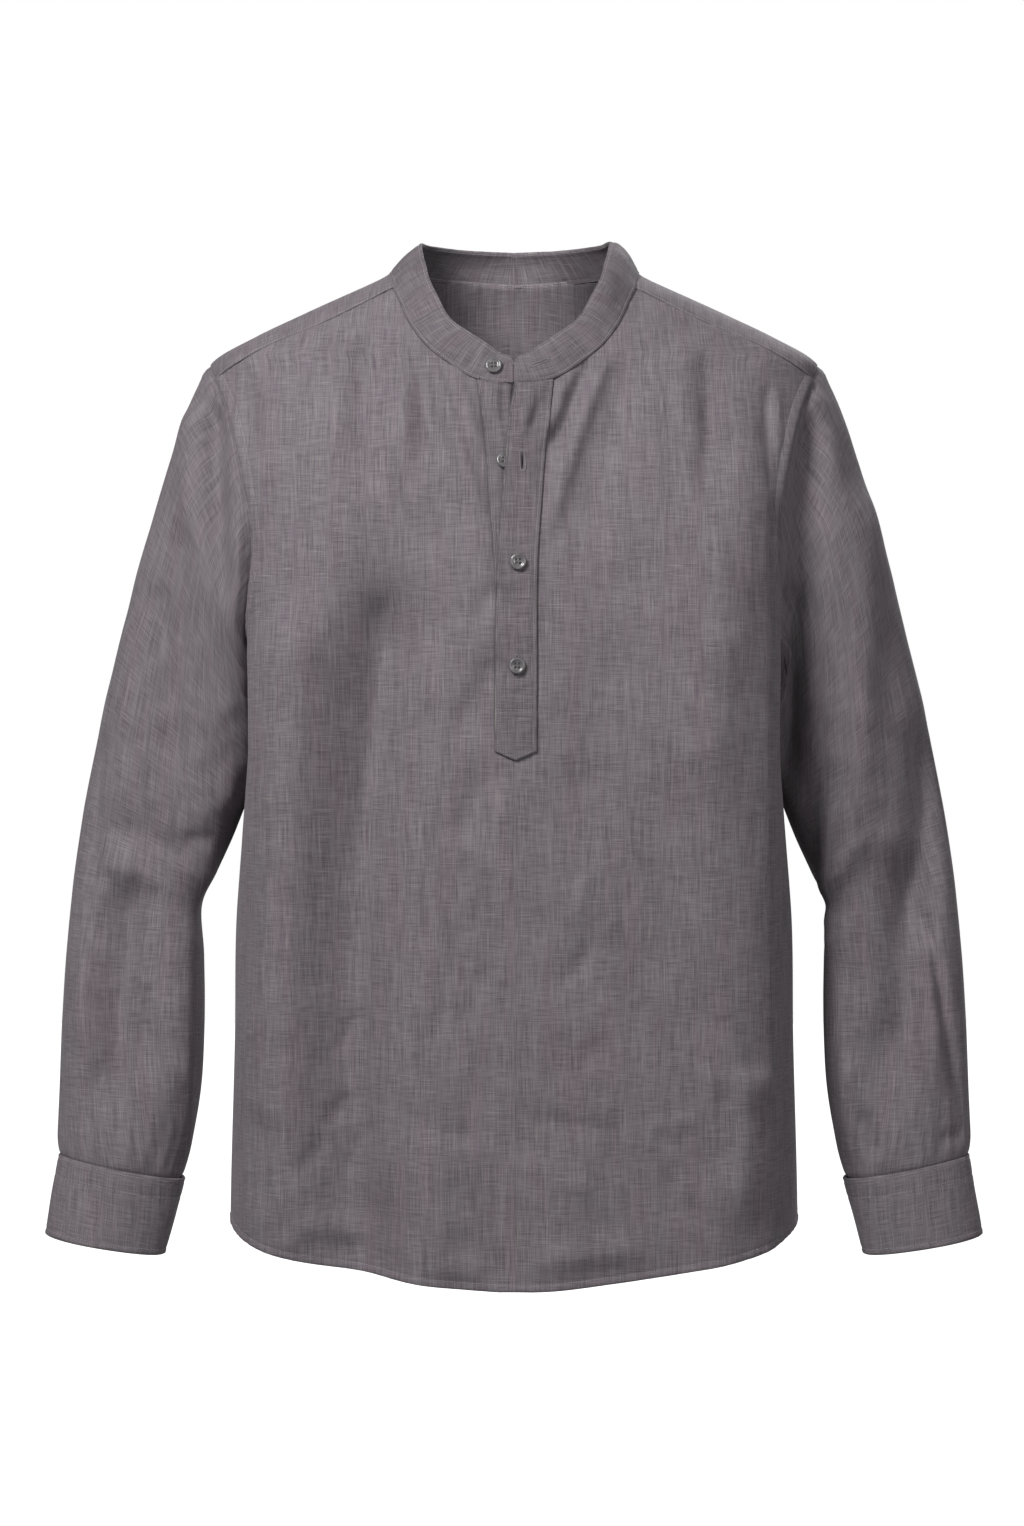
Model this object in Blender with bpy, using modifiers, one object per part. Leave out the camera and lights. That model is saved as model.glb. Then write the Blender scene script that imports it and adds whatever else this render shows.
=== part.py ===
"""Band collar shirt with a half-length button placket, filled out and hollow, with no wearer inside.

Frame: metres, +Z up, the front faces -Y and the wearer's left is +X. The origin is the middle of the neck
at the height of the shoulder points. All sizes below are in millimetres. Every piece is given by its outer
surface, and Solidify gives it its wall on the inner side.

The torso is one tube of level sections. A place on it is (turn, height): turn is 0 at the centre front,
90 at the wearer's left side or shoulder ridge, 180 at the centre back and 270 at the right.
"""

import math

import bpy
import numpy as np
from mathutils import Matrix

NAME = "band_collar_shirt"
MM = 0.001

# ---------------------------------------------------------------- driving sizes, millimetres and degrees
CLOTH = 1.4             # wall of the body, yoke, sleeves and plackets
DOUBLED = 2.0           # wall of the band and the cuffs, which are doubled
GAP = 0.3               # clear space between two pieces
SEAM = 0.5              # clear space left along the cut edges that meet at a seam
YOKE_SEAM_GAP = 1.6     # the same down the front yoke seam, where the cloth bends over the shoulder
YOKE_SEAM_TURN = 0.6    # and across it at the neck end, degrees of turn
SEAM_TURN = 3.0         # how far a sleeve runs straight out of its armhole before it falls

CORNER = 0.82           # squareness of a torso section: 1 is an ellipse, less is squarer
FRONT_POWER = 3.0       # power of the flatter curve of the front below the yoke seams: 2 / CORNER is the plain one
TUCK_SPREAD = 0.42      # how far round the side the tuck beside the arm reaches
SIDE_REACH = 200.0      # half width at which the side seams' clear space is turned into degrees

HEM_LOW = -718.0        # hem at the centre front and back
HEM_RISE = 28.5         # how much higher the hem is at the side seams
HEM_POWER = 1.2         # how late the hem starts to rise: 2 is a cosine wave
HEM_CORNER = 11.0       # extra rise close to the side seams, which rounds the corners of the hem

ARMHOLE_TOP = -59.0     # shoulder tip
ARMHOLE_LOW = -275.0    # underarm point
ARMHOLE_FRONT = 32.0    # how far the armhole is scooped towards the front, degrees of turn
ARMHOLE_BACK = 29.0     # and towards the back
ARMHOLE_POWER = 0.9     # fullness of the scoop: 1 is an oval
YOKE_FRONT = -71.5      # height at which the front yoke seam meets the armhole
YOKE_BACK = -95.0       # height of the back yoke seam
SLOT_LOW = -332.0       # foot of the front slot that the plackets fill
SLOT_TOP = -75.1        # its top, beside the plackets

UPPER_OUT = 2.15        # how far the upper placket's face lies outside the front

BUTTON_RADIUS = 5.8
BUTTON_THICK = 2.6
BUTTON_GAP = 0.75       # from a button's back to the curved cloth under its middle
BUTTON_EDGE = 0.6       # rounding of its rim
DISH_RADIUS = 4.0       # the sunk middle of its face
DISH_DEPTH = 0.6
THREAD_HOLE = 0.8       # radius of a thread hole
THREAD_PLACE = 1.2      # distance of each hole from the button's two middle lines
CUTTER_DEPTH = 12.0
BUTTON_SIDES = 20
DISH_SIDES = 16
HOLE_SIDES = 7

CLOTH_COLOUR = (0.155, 0.138, 0.148)
BUTTON_COLOUR = (0.030, 0.028, 0.030)

# Level sections of the torso tube, from the hem up to the neck. side_tuck narrows the tube beside the arm.
SECTION_COLUMNS = ("height", "half_width", "front_depth", "back_depth", "side_tuck")
SECTIONS = (
    (-725, 206.0, 126, 122, 0.00),
    (-668, 205.5, 127, 122, 0.00),
    (-550, 202.5, 129, 122, 0.00),
    (-450, 202.5, 131, 124, 0.01),
    (-390, 211.0, 132, 126, 0.085),
    (-330, 218.0, 132, 128, 0.18),
    (-275, 218.0, 131, 129, 0.17),
    (-230, 214.5, 129, 129, 0.13),
    (-190, 213.0, 125, 128, 0.08),
    (-150, 219.0, 117, 124, 0.03),
    (-120, 221.0, 109, 119, 0.01),
    (-90, 221.0, 99, 112, 0.00),
    (-72, 221.5, 91, 107, 0.00),
    (-59, 220.5, 86, 103, 0.00),
    (-40, 189.5, 78, 97, 0.00),
    (-25, 158.5, 68, 89, 0.00),
    (-11, 128.0, 58, 79, 0.00),
    (-3, 110.5, 50, 72, 0.00),
    (5, 94.5, 40, 65, 0.00),
    (12, 86.0, 30, 58, 0.00),
)

# The seam between the shirt and its band, from the centre front round to the centre back.
NECKLINE_COLUMNS = ("turn", "height")
NECKLINE = (
    (0, -81.0), (2.7, -80.0), (5.8, -75.0), (9.3, -63.7), (15, -47.4), (23.6, -28.6),
    (43, -7.0), (65, 3.0), (90, 8.0), (120, 9.0), (150, 7.5), (180, 4.5),
)
NECK_POINT = 43.0       # turn at which the front yoke seam starts
NECK_BACK = 135.0       # turn on the neckline that faces the back corner of the armhole

# The front yoke seam from the neck point to the armhole, 35 to 45 mm in front of the shoulder ridge.
YOKE_SEAM_COLUMNS = ("turn", "height")
YOKE_SEAM = ((NECK_POINT, -7.0), (46.5, -31.0), (53.0, -45.0), (59.5, -60.0), (73.8, YOKE_FRONT))

# Top edge of the band, against the turn of the seam below it.
BAND_COLUMNS = ("turn", "across", "depth", "height")
BAND_TOP = (
    (0, 0, -89, -62),
    (2.7, 9, -89, -60),
    (5.8, 20, -88, -52.5),
    (9.3, 32, -85, -44.5),
    (15, 45, -79, -34.5),
    (23.6, 57, -67, -13),
    (43, 64.5, -46, 9),
    (65, 67.5, -24, 22),
    (90, 68.5, -1, 30),
    (120, 62, 25, 31.5),
    (150, 36, 43, 30.5),
    (180, 0, 50, 29.5),
)
BAND_END = 0.6          # half the space between the two ends of the band
BAND_START = 0.02       # share of its width by which it stays above the cut edge of the shirt
BAND_DROP = 0.30        # how far below the neckline that start is measured from
BAND_BULGE = 1.5        # how far its middle rounds outwards
BAND_CORNER = 0.20      # how far the upper corners of its ends are cut down, as a share of its width
BAND_LEAN = (0.8, 0.6)  # its outward direction: level part and upward part
BAND_FRONT_TURNS = (0.15, 3.0)   # columns of the band that stand over the plackets

# The front slot and the upper placket by height: edges on the wearer's right (-X) and left (+X).
PLACKET_COLUMNS = ("height", "slot_right", "slot_left", "placket_right", "placket_left")
PLACKET = (
    (-725, -10.5, 13.0, -12.8, 15.3),
    (-336, -10.5, 13.0, -12.8, 15.3),
    (-270, -10.5, 13.0, -12.4, 15.3),
    (-238, -11.5, 13.0, -11.8, 15.3),
    (-196, -13.5, 14.0, -9.8, 16.3),
    (-166, -16.2, 15.8, -7.6, 18.6),
    (-135, -18.2, 17.8, -5.2, 21.0),
    (-112, -20.2, 20.0, -3.4, 23.4),
    (-81, -24.6, 24.0, 1.0, 26.8),
)
PLACKET_FOOT = -341.0   # square corners of the upper placket's foot
PLACKET_TIP = -347.0    # its pointed middle
GAPE = 5.2              # how far the upper placket stands open beside the second button
GAPE_HEIGHT = -127.0
GAPE_REACH = 46.0

# Placket buttons: how far the cloth under each lies outside the front, its place across and its height.
BUTTON_COLUMNS = ("name", "seat_out", "across", "height")
BUTTONS = (
    ("placket_button_1", 0.0, -6.6, -137.3),
    ("placket_button_2", UPPER_OUT, 2.8, -209.0),
    ("placket_button_3", UPPER_OUT, 2.1, -281.5),
)
COLLAR_BUTTON_TURN = 357.1      # on the right end of the band
COLLAR_BUTTON_SHARE = 0.5       # share of the band's width above its seam
COLLAR_BUTTON_GAP = 0.45        # its back sits this far out, because the band bends under it

# Sleeve rings from the armhole to the cuff seam: outer and inner point of each ring as seen from the front,
# then the ring's middle and half depth from front to back.
SLEEVE_COLUMNS = ("outer_across", "outer_height", "inner_across", "inner_height", "middle", "half_depth")
SLEEVE = (
    (221.0, -59, 180.0, -275, 0, 62),
    (236.0, -90, 182.5, -287, 1, 62),
    (250.0, -128, 182.5, -301, 5, 62),
    (263.5, -171, 182.5, -318, 9, 61),
    (276.0, -213, 184.0, -337, 12, 60),
    (287.5, -259, 189.0, -358, 15, 58),
    (298.5, -302, 197.5, -380, 16, 55),
    (308.0, -347, 207.5, -405, 16, 52),
    (316.0, -390, 219.0, -430, 16, 50),
    (322.0, -434, 229.5, -454, 14, 50),
    (326.5, -485, 227.5, -490, 9, 50),
    (329.0, -530, 226.5, -537, 3, 49),
    (330.5, -580, 228.0, -583, -4, 46),
    (331.0, -612, 234.0, -622, -9, 41),
    (330.0, -632, 241.5, -650, -13, 37),
)
CAP_FADE = (1.0, 0.62, 0.28, 0.08)     # how far the first rings still follow the armhole's own shape
SLEEVE_CORNER = 0.92    # squareness of a sleeve ring: 1 is an oval, less is squarer

# Cuff rings from its seam to its lower edge, in the same columns.
CUFF = (
    (330.8, -632.6, 240.6, -650.8, -13, 37.6),
    (334.8, -661, 247.3, -677.5, -16, 36.4),
    (339.5, -689, 254.0, -703.7, -19, 35.0),
)
CUFF_START = 296.0      # angle round the wrist where the cuff's under end lies, 270 being straight back
CUFF_LAP = 32.0         # overlap of its two ends
CUFF_LIFT = 2.6         # how far the upper end lies outside the under end
CUFF_LIFT_FROM = 170.0  # angle past its start at which it begins to lift
CUFF_LIFT_OVER = 150.0  # angle over which it lifts
CUFF_BUTTON_ANGLE = 312.0

# Largest folds: a soft ridge (+) or trough (-) along a line from one place to another, fading at both ends.
# reach is the half width; height_out is how far it stands out or sinks in.
FOLD_COLUMNS = ("from_across", "from_height", "to_across", "to_height", "reach", "height_out")
FRONT_FOLDS = (
    (-104, -225, -134, -330, 20, -5.0),
    (-130, -290, -150, -640, 22, -7.0),
    (-84, -270, -84, -520, 26, 5.0),
    (-56, -92, -24, -190, 12, -3.5),
    (62, -92, 20, -195, 12, -3.5),
    (128, -200, 118, -330, 26, 4.0),
    (160, -380, 176, -660, 20, -5.0),
    (60, -420, 48, -720, 26, -4.0),
    (-20, -480, -10, -730, 26, 3.0),
)
BACK_FOLDS = (
    (-96, -150, -120, -620, 24, -6.0),
    (-30, -260, -44, -730, 26, 5.0),
    (52, -180, 60, -560, 24, -6.0),
    (128, -240, 140, -700, 24, 5.0),
)
# Folds of a sleeve: angle round the arm in degrees, share of the way down from 0 to 1.
SLEEVE_FOLD_COLUMNS = ("from_angle", "from_share", "to_angle", "to_share", "angle_reach", "height_out")
SLEEVE_FOLDS = (
    (70, 0.16, 130, 0.44, 24, -4.0),
    (110, 0.50, 50, 0.66, 20, 4.0),
    (120, 0.60, 60, 0.84, 18, -4.0),
    (280, 0.20, 235, 0.55, 22, -4.0),
    (300, 0.55, 250, 0.82, 22, -4.0),
)
SHARE_SCALE = 400.0     # makes a share of the sleeve's length comparable with degrees round it
FOLD_RUN_ON = 0.08      # how far a fold runs on past both ends of its line, as a share of it
FOLD_FADE = 0.30        # share of its length over which it fades
FOLD_FREE_FROM = 0.10   # cosine of the turn beside the side seams at which the torso's folds begin
FOLD_FREE_OVER = 0.35   # and the step of cosine over which they reach full size

# Numbers of spans of the cloth grids.
SIDE_COLUMNS = 12       # each half of the front, slot edge to side seam
NECK_COLUMNS = 6        # of these, the ones that end at the neckline
LOWER_ROWS = 9          # hem to the foot of the slot
SLOT_ROWS = 2           # foot of the slot to the underarm
UPPER_ROWS = 10         # underarm to neckline and yoke seam
BACK_COLUMNS = 16
BACK_UPPER_ROWS = 8
YOKE_TIP_COLUMNS = 6    # over one shoulder tip
YOKE_BACK_COLUMNS = 10
YOKE_ROWS = 6
BAND_ROWS = 2
CUFF_COLUMNS = 28
PLACKET_SPANS = 4


# ---------------------------------------------------------------- curves and the torso tube
def column(table, names, name):
    """One named column of a table as numbers."""
    return np.array([row[names.index(name)] for row in table], float)


def smooth(knots, values, at):
    """Smooth curve through the knots: cubic pieces whose slopes come from the neighbouring knots."""
    at = np.clip(np.asarray(at, float), knots[0], knots[-1])
    slope = np.gradient(values, knots)
    left = np.clip(np.searchsorted(knots, at) - 1, 0, len(knots) - 2)
    span = knots[left + 1] - knots[left]
    t = (at - knots[left]) / span
    value_part = (1 + 2 * t) * (1 - t) ** 2 * values[left] + t * t * (3 - 2 * t) * values[left + 1]
    slope_part = t * (1 - t) ** 2 * slope[left] - t * t * (1 - t) * slope[left + 1]
    return value_part + span * slope_part


def along(table, names, key, name, at):
    """A table's named column, read as a smooth curve against its key column."""
    return smooth(column(table, names, key), column(table, names, name), at)


def ease(share):
    """0 to 1 with level ends."""
    share = np.clip(share, 0.0, 1.0)
    return share * share * (3 - 2 * share)


def folds(table, p, q):
    """Sum of the table's ridges and troughs at places (p, q): a bell across each line, faded at its ends."""
    total = np.zeros(np.broadcast(p, q).shape)
    for p0, q0, p1, q1, reach, out in table:
        dp, dq = p1 - p0, q1 - q0
        share = ((p - p0) * dp + (q - q0) * dq) / (dp * dp + dq * dq)
        off = ((p - p0) * dq - (q - q0) * dp) / math.hypot(dp, dq)
        fade = ease((share + FOLD_RUN_ON) / FOLD_FADE) * ease((1 + FOLD_RUN_ON - share) / FOLD_FADE)
        total = total + out * np.exp(-(off / reach) ** 2) * fade
    return total


def torso(turn, height, out=0.0, folded=True):
    """Points of the torso tube at the turns and heights given, moved outwards by out."""
    turn, height = np.broadcast_arrays(np.radians(turn), np.asarray(height, float))
    sine, cosine = np.sin(turn), np.cos(turn)
    half = along(SECTIONS, SECTION_COLUMNS, "height", "half_width", height)
    front = along(SECTIONS, SECTION_COLUMNS, "height", "front_depth", height)
    back = along(SECTIONS, SECTION_COLUMNS, "height", "back_depth", height)
    tuck = along(SECTIONS, SECTION_COLUMNS, "height", "side_tuck", height)
    narrow = 1 - tuck * np.exp(-(cosine / TUCK_SPREAD) ** 2)
    across = half * narrow * np.sign(sine) * np.abs(sine) ** CORNER
    power = 2 / CORNER + (FRONT_POWER - 2 / CORNER) * ease((-60 - height) / 80) * (cosine > 0)
    flat = np.clip(1 - np.abs(sine) ** (CORNER * power), 0, 1) ** (1 / power)
    depth = np.where(cosine > 0, -front, back) * flat
    if folded:
        share = ease((np.abs(cosine) - FOLD_FREE_FROM) / FOLD_FREE_OVER)
        front_out = folds(FRONT_FOLDS, across, height)
        back_out = folds(BACK_FOLDS, across, height)
        out = out + np.where(cosine > 0, front_out, back_out) * share
    return np.stack([across + out * sine, depth - out * cosine, height], axis=-1)


def turn_at(across, height):
    """Turn of the front place that lies at a distance across, at a height where there is no side tuck."""
    half = along(SECTIONS, SECTION_COLUMNS, "height", "half_width", height)
    return np.degrees(np.sign(across) * np.arcsin((np.abs(across) / half) ** (1 / CORNER)))


def hem(turn):
    """Height of the hem: lowest at the centre front and back, highest at the side seams."""
    side = np.abs(np.sin(np.radians(turn)))
    return HEM_LOW + HEM_RISE * side ** HEM_POWER + HEM_CORNER * side ** 10


def armhole(angle):
    """Turn and height on the left armhole seam: angle 0 at the tip, 90 front, 180 underarm, 270 back."""
    angle = np.radians(angle)
    middle, reach = (ARMHOLE_TOP + ARMHOLE_LOW) / 2, (ARMHOLE_TOP - ARMHOLE_LOW) / 2
    deepest = np.where(np.sin(angle) > 0, ARMHOLE_FRONT, -ARMHOLE_BACK)
    scoop = deepest * np.abs(np.sin(angle)) ** ARMHOLE_POWER
    return np.stack([90 - scoop, middle + reach * np.cos(angle)], axis=-1)


def armhole_angle(height):
    """Angle on the front half of the armhole at which it passes a height."""
    middle, reach = (ARMHOLE_TOP + ARMHOLE_LOW) / 2, (ARMHOLE_TOP - ARMHOLE_LOW) / 2
    return math.degrees(math.acos((height - middle) / reach))


def neckline(turn):
    """Turn and height on the neck seam, for turns from 0 to 360."""
    around = np.where(turn > 180, 360 - turn, turn)
    return np.stack([turn, along(NECKLINE, NECKLINE_COLUMNS, "turn", "height", around)], axis=-1)


def patch(low, high, start, end):
    """Grid of places between four edges (a Coons patch): rows follow start and end, columns low and high."""
    v = np.linspace(0, 1, len(start))[:, None, None]
    u = np.linspace(0, 1, len(low))[None, :, None]
    between_rows = (1 - v) * low[None] + v * high[None]
    between_columns = (1 - u) * start[:, None] + u * end[:, None]
    lower_corners = (1 - v) * ((1 - u) * low[0] + u * low[-1])
    upper_corners = v * ((1 - u) * high[0] + u * high[-1])
    return between_rows + between_columns - lower_corners - upper_corners


def spread(points, count):
    """The same broken line with count spans, evenly spaced along its index."""
    at, index = np.linspace(0, len(points) - 1, count + 1), np.arange(len(points))
    return np.stack([np.interp(at, index, values) for values in points.T], axis=-1)


def level_line(turns, height):
    """Places along a line at one height."""
    return np.stack(np.broadcast_arrays(turns, height), axis=-1)


# ---------------------------------------------------------------- meshes
def material(name, colour, roughness, sheen=0.0):
    """Principled material of one colour."""
    made = bpy.data.materials.new(name)
    made.use_nodes = True
    shader = made.node_tree.nodes["Principled BSDF"]
    shader.inputs["Base Color"].default_value = (*colour, 1.0)
    shader.inputs["Roughness"].default_value = roughness
    shader.inputs["Metallic"].default_value = 0.0
    shader.inputs["Sheen Weight"].default_value = sheen
    made.diffuse_color = (*colour, 1.0)
    return made


def put(name, mesh, finish):
    """An object for a mesh, in the shirt's collection and with its own material."""
    piece = bpy.data.objects.new(name, mesh)
    mesh.materials.clear()
    mesh.materials.append(finish)
    bpy.data.collections[NAME].objects.link(piece)
    return piece


def cloth(name, grid, wall=CLOTH, keep=None, closed=False):
    """A wall of cloth on a grid of outer points: from outside, columns run to the right and rows upwards."""
    rows, columns = grid.shape[:2]
    index = np.arange(rows * columns).reshape(rows, columns)
    if closed:
        index = np.concatenate([index, index[:, :1]], axis=1)
    quads = np.stack([index[:-1, :-1], index[:-1, 1:], index[1:, 1:], index[1:, :-1]], axis=-1)
    if keep is not None:
        quads = quads[keep]
    quads = quads.reshape(-1, 4)
    used = np.unique(quads)
    mesh = bpy.data.meshes.new(name)
    points = grid.reshape(-1, 3)[used] * MM
    mesh.from_pydata(points.tolist(), [], np.searchsorted(used, quads).tolist())
    mesh.update()
    mesh.shade_smooth()
    piece = put(name, mesh, material(name + "_cloth", CLOTH_COLOUR, 0.9, 0.3))
    wall_maker = piece.modifiers.new("wall", "SOLIDIFY")
    wall_maker.thickness = wall * MM
    wall_maker.offset = -1.0
    wall_maker.use_even_offset = False
    return piece


# ---------------------------------------------------------------- cloth pieces
def slot_edge(height, name):
    """Place of a named slot or placket edge at a height."""
    return along(PLACKET, PLACKET_COLUMNS, "height", name, height)


def front_rows():
    """Heights of the rows at the slot edges, from the foot of the slot up to the neckline."""
    low = np.linspace(SLOT_LOW, ARMHOLE_LOW, SLOT_ROWS + 1)
    high = np.linspace(ARMHOLE_LOW, SLOT_TOP, UPPER_ROWS + 1)
    return np.concatenate([low[:-1], high])


def front_half(side):
    """Places of one half of the front, from the slot edge to the side seam and armhole; side is 1 or -1."""
    edge_name = "slot_left" if side > 0 else "slot_right"
    share = np.linspace(0, 1, SIDE_COLUMNS + 1)
    side_turn = 90 - math.degrees(SEAM / 2 / SIDE_REACH)

    def level(height):
        inner = side * turn_at(slot_edge(height, edge_name), height)
        return level_line(inner + (side_turn - inner) * share, height)

    turns = level(SLOT_LOW)[:, 0]
    foot = hem(turns)
    rise = np.linspace(0, 1, LOWER_ROWS + 1)[:-1, None]
    lower = level_line(turns, foot + rise * (SLOT_LOW - foot))
    slot = np.stack([level(height) for height in front_rows()[:SLOT_ROWS]])

    heights = front_rows()[SLOT_ROWS:]
    inner_turn = side * turn_at(slot_edge(heights, edge_name), heights)
    start = np.stack([inner_turn, heights], axis=-1)
    start[-1, 1] = neckline(inner_turn[-1:])[0, 1] - SEAM
    end = armhole(np.linspace(180, armhole_angle(YOKE_FRONT - YOKE_SEAM_GAP), UPPER_ROWS + 1))
    end[0, 0] = side_turn
    neck = neckline(np.linspace(inner_turn[-1], NECK_POINT, NECK_COLUMNS + 1)) - [0, SEAM]
    yoke_seam = spread(np.array(YOKE_SEAM), SIDE_COLUMNS - NECK_COLUMNS) - [0, YOKE_SEAM_GAP]
    yoke_seam[:, 0] -= np.linspace(YOKE_SEAM_TURN, 0, len(yoke_seam))
    top = np.concatenate([neck[:-1], yoke_seam])
    top[0], top[-1] = start[-1], end[-1]
    low = level(ARMHOLE_LOW)
    low[0], low[-1] = start[0], end[0]
    return np.concatenate([lower, slot, patch(low, top, start, end)])


def front_body():
    """The front in one piece, with the slot for the plackets left open from the neckline down."""
    left, right = front_half(1), front_half(-1) * [-1, 1]
    middle = (left[:, :1] + right[:, :1]) / 2
    places = np.concatenate([right[:, ::-1], middle, left], axis=1)
    grid = torso(places[..., 0], places[..., 1])
    keep = np.ones((grid.shape[0] - 1, grid.shape[1] - 1), bool)
    keep[LOWER_ROWS:, SIDE_COLUMNS:SIDE_COLUMNS + 2] = False
    return cloth("front_body", grid, keep=keep)


def back_body():
    """The back below the yoke, between the side seams and the backs of the armholes."""
    step = math.degrees(SEAM / 2 / SIDE_REACH)
    turns = np.linspace(90 + step, 270 - step, BACK_COLUMNS + 1)
    foot = hem(turns)
    rows = np.concatenate([np.linspace(HEM_LOW, SLOT_LOW, LOWER_ROWS + 1)[:-1], front_rows()[:SLOT_ROWS]])
    rise = (rows[:, None] - HEM_LOW) / (ARMHOLE_LOW - HEM_LOW)
    lower = level_line(turns, foot + rise * (ARMHOLE_LOW - foot))
    corner = 360 - armhole_angle(YOKE_BACK)
    start = armhole(np.linspace(180, corner, BACK_UPPER_ROWS + 1))
    start[0, 0] = turns[0]
    start[-1, 1] -= SEAM
    end = start * [-1, 1] + [360, 0]
    low = level_line(turns, ARMHOLE_LOW)
    top = level_line(np.linspace(start[-1, 0], end[-1, 0], BACK_COLUMNS + 1), start[-1, 1])
    places = np.concatenate([lower, patch(low, top, start, end)])
    return cloth("back_body", torso(places[..., 0], places[..., 1]))


def yoke_neck_turns():
    """Turns of the yoke's columns along the neckline, from one neck point round the back to the other."""
    side = np.linspace(NECK_POINT, NECK_BACK, YOKE_TIP_COLUMNS + 1)
    back = np.linspace(NECK_BACK, 360 - NECK_BACK, YOKE_BACK_COLUMNS + 1)
    return np.concatenate([side[:-1], back, 360 - side[-2::-1]])


def yoke():
    """The yoke: from the front seams over both shoulders to the seam across the back."""
    front_corner, back_corner = armhole_angle(YOKE_FRONT), armhole_angle(YOKE_BACK)
    tip = armhole(np.linspace(front_corner, -back_corner, YOKE_TIP_COLUMNS + 1))
    far_tip = tip[::-1] * [-1, 1] + [360, 0]
    back = level_line(np.linspace(tip[-1, 0], far_tip[0, 0], YOKE_BACK_COLUMNS + 1), tip[-1, 1])
    outer = np.concatenate([tip[:-1], back, far_tip[1:]])
    neck = neckline(yoke_neck_turns()) - [0, SEAM]
    start = spread(np.array(YOKE_SEAM), YOKE_ROWS)
    start[0], start[-1] = neck[0], outer[0]
    end = start * [-1, 1] + [360, 0]
    places = patch(neck, outer, start, end)[::-1]
    return cloth("yoke", torso(places[..., 0], places[..., 1]))


def band_turns():
    """Turns of the band's columns: those of the neckline edges of the front and the yoke."""
    first = front_half(1)[-1, :NECK_COLUMNS + 1, 0]
    round_back = yoke_neck_turns()
    last = 360 - front_half(-1)[-1, :NECK_COLUMNS + 1, 0][::-1]
    over = np.array(BAND_FRONT_TURNS)
    return np.concatenate([over, first[:-1], round_back, last[1:], 360 - over[::-1]])


def band_point(turn, share, out=0.0):
    """Points of the band: share 0 on the neck seam, 1 on its top edge, moved outwards by out."""
    turn, share = np.broadcast_arrays(np.asarray(turn, float), np.asarray(share, float))
    around = np.where(turn > 180, 360 - turn, turn)
    side = np.where(turn > 180, -1.0, 1.0)
    seam = torso(turn, neckline(turn)[..., 1] - BAND_DROP, folded=False)
    across, depth, height = (along(BAND_TOP, BAND_COLUMNS, "turn", name, around) for name in BAND_COLUMNS[1:])
    top = np.stack([side * across, depth, height], axis=-1)
    bulge = BAND_BULGE * np.sin(np.pi * share)
    point = seam + (top - seam) * (BAND_START + (1 - BAND_START) * share)[..., None]
    lean = np.radians(turn)
    level, up = BAND_LEAN
    away = np.stack([np.sin(lean) * level, -np.cos(lean) * level, np.full(turn.shape, up)], axis=-1)
    return point + away * (out + bulge)[..., None]


def collar_band():
    """The band: a strip round the neck, open at the front, with rounded upper corners."""
    turns = band_turns()
    shares = np.linspace(0, 1, BAND_ROWS + 1)[:, None]
    grid = band_point(turns[None, :], shares)
    for end in (0, -1):
        side = 1 if end == 0 else -1
        grid[:, end, 0] = side * BAND_END
        grid[-1, end] += (grid[0, end] - grid[-1, end]) * BAND_CORNER
    return cloth("collar_band", grid, wall=DOUBLED)


def on_front(across, height, out=0.0):
    """Points lying on the front, out from its cloth."""
    return torso(turn_at(across, height), height, out)


def gape(height, share):
    """How far the upper placket stands off the front: most at its open edge, share 0, by the second button."""
    return GAPE * np.exp(-((height - GAPE_HEIGHT) / GAPE_REACH) ** 2) * (1 - share)


def placket_top(across):
    """Height of the neckline seam above a place on a placket."""
    return neckline(np.abs(turn_at(across, SLOT_TOP)))[..., 1] - SEAM


def placket_upper():
    """The upper placket: a strip over the slot, on the wearer's left, with a pointed foot."""
    share = np.linspace(0, 1, PLACKET_SPANS + 1)
    heights = np.concatenate([[PLACKET_FOOT], front_rows()])[:, None] + 0 * share
    heights[0] += (PLACKET_TIP - PLACKET_FOOT) * (1 - np.abs(2 * share - 1))
    right, left = slot_edge(heights, "placket_right"), slot_edge(heights, "placket_left")
    across = right + (left - right) * share
    heights[-1] = placket_top(across[-1])
    return cloth("placket_upper", on_front(across, heights, UPPER_OUT + gape(heights, share)))


def placket_under():
    """The under placket: a strip filling the slot, on the wearer's right, level with the front."""
    share = np.linspace(0, 1, PLACKET_SPANS + 1)
    heights = front_rows()[:, None] + 0 * share
    heights[0] += GAP
    right, left = slot_edge(heights, "slot_right") + SEAM, slot_edge(heights, "slot_left") - SEAM
    across = right + (left - right) * share
    heights[-1] = placket_top(across[-1])
    return cloth("placket_under", on_front(across, heights))


def tube(table, angles):
    """Rings of a sleeve or cuff: ovals between each row's outer (angle 0) and inner points, 90 at the front."""
    values = {name: column(table, SLEEVE_COLUMNS, name)[:, None] for name in SLEEVE_COLUMNS}
    cosine, sine = np.cos(np.radians(angles)), np.sin(np.radians(angles))
    share = (1 - cosine) / 2
    across = values["outer_across"] + (values["inner_across"] - values["outer_across"]) * share
    height = values["outer_height"] + (values["inner_height"] - values["outer_height"]) * share
    depth = values["middle"] - values["half_depth"] * np.sign(sine) * np.abs(sine) ** SLEEVE_CORNER
    return np.stack(np.broadcast_arrays(across, depth, height), axis=-1)


def outward(grid):
    """Directions away from each ring's middle."""
    away = grid - grid.mean(axis=1, keepdims=True)
    return away / np.linalg.norm(away, axis=-1, keepdims=True)


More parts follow.
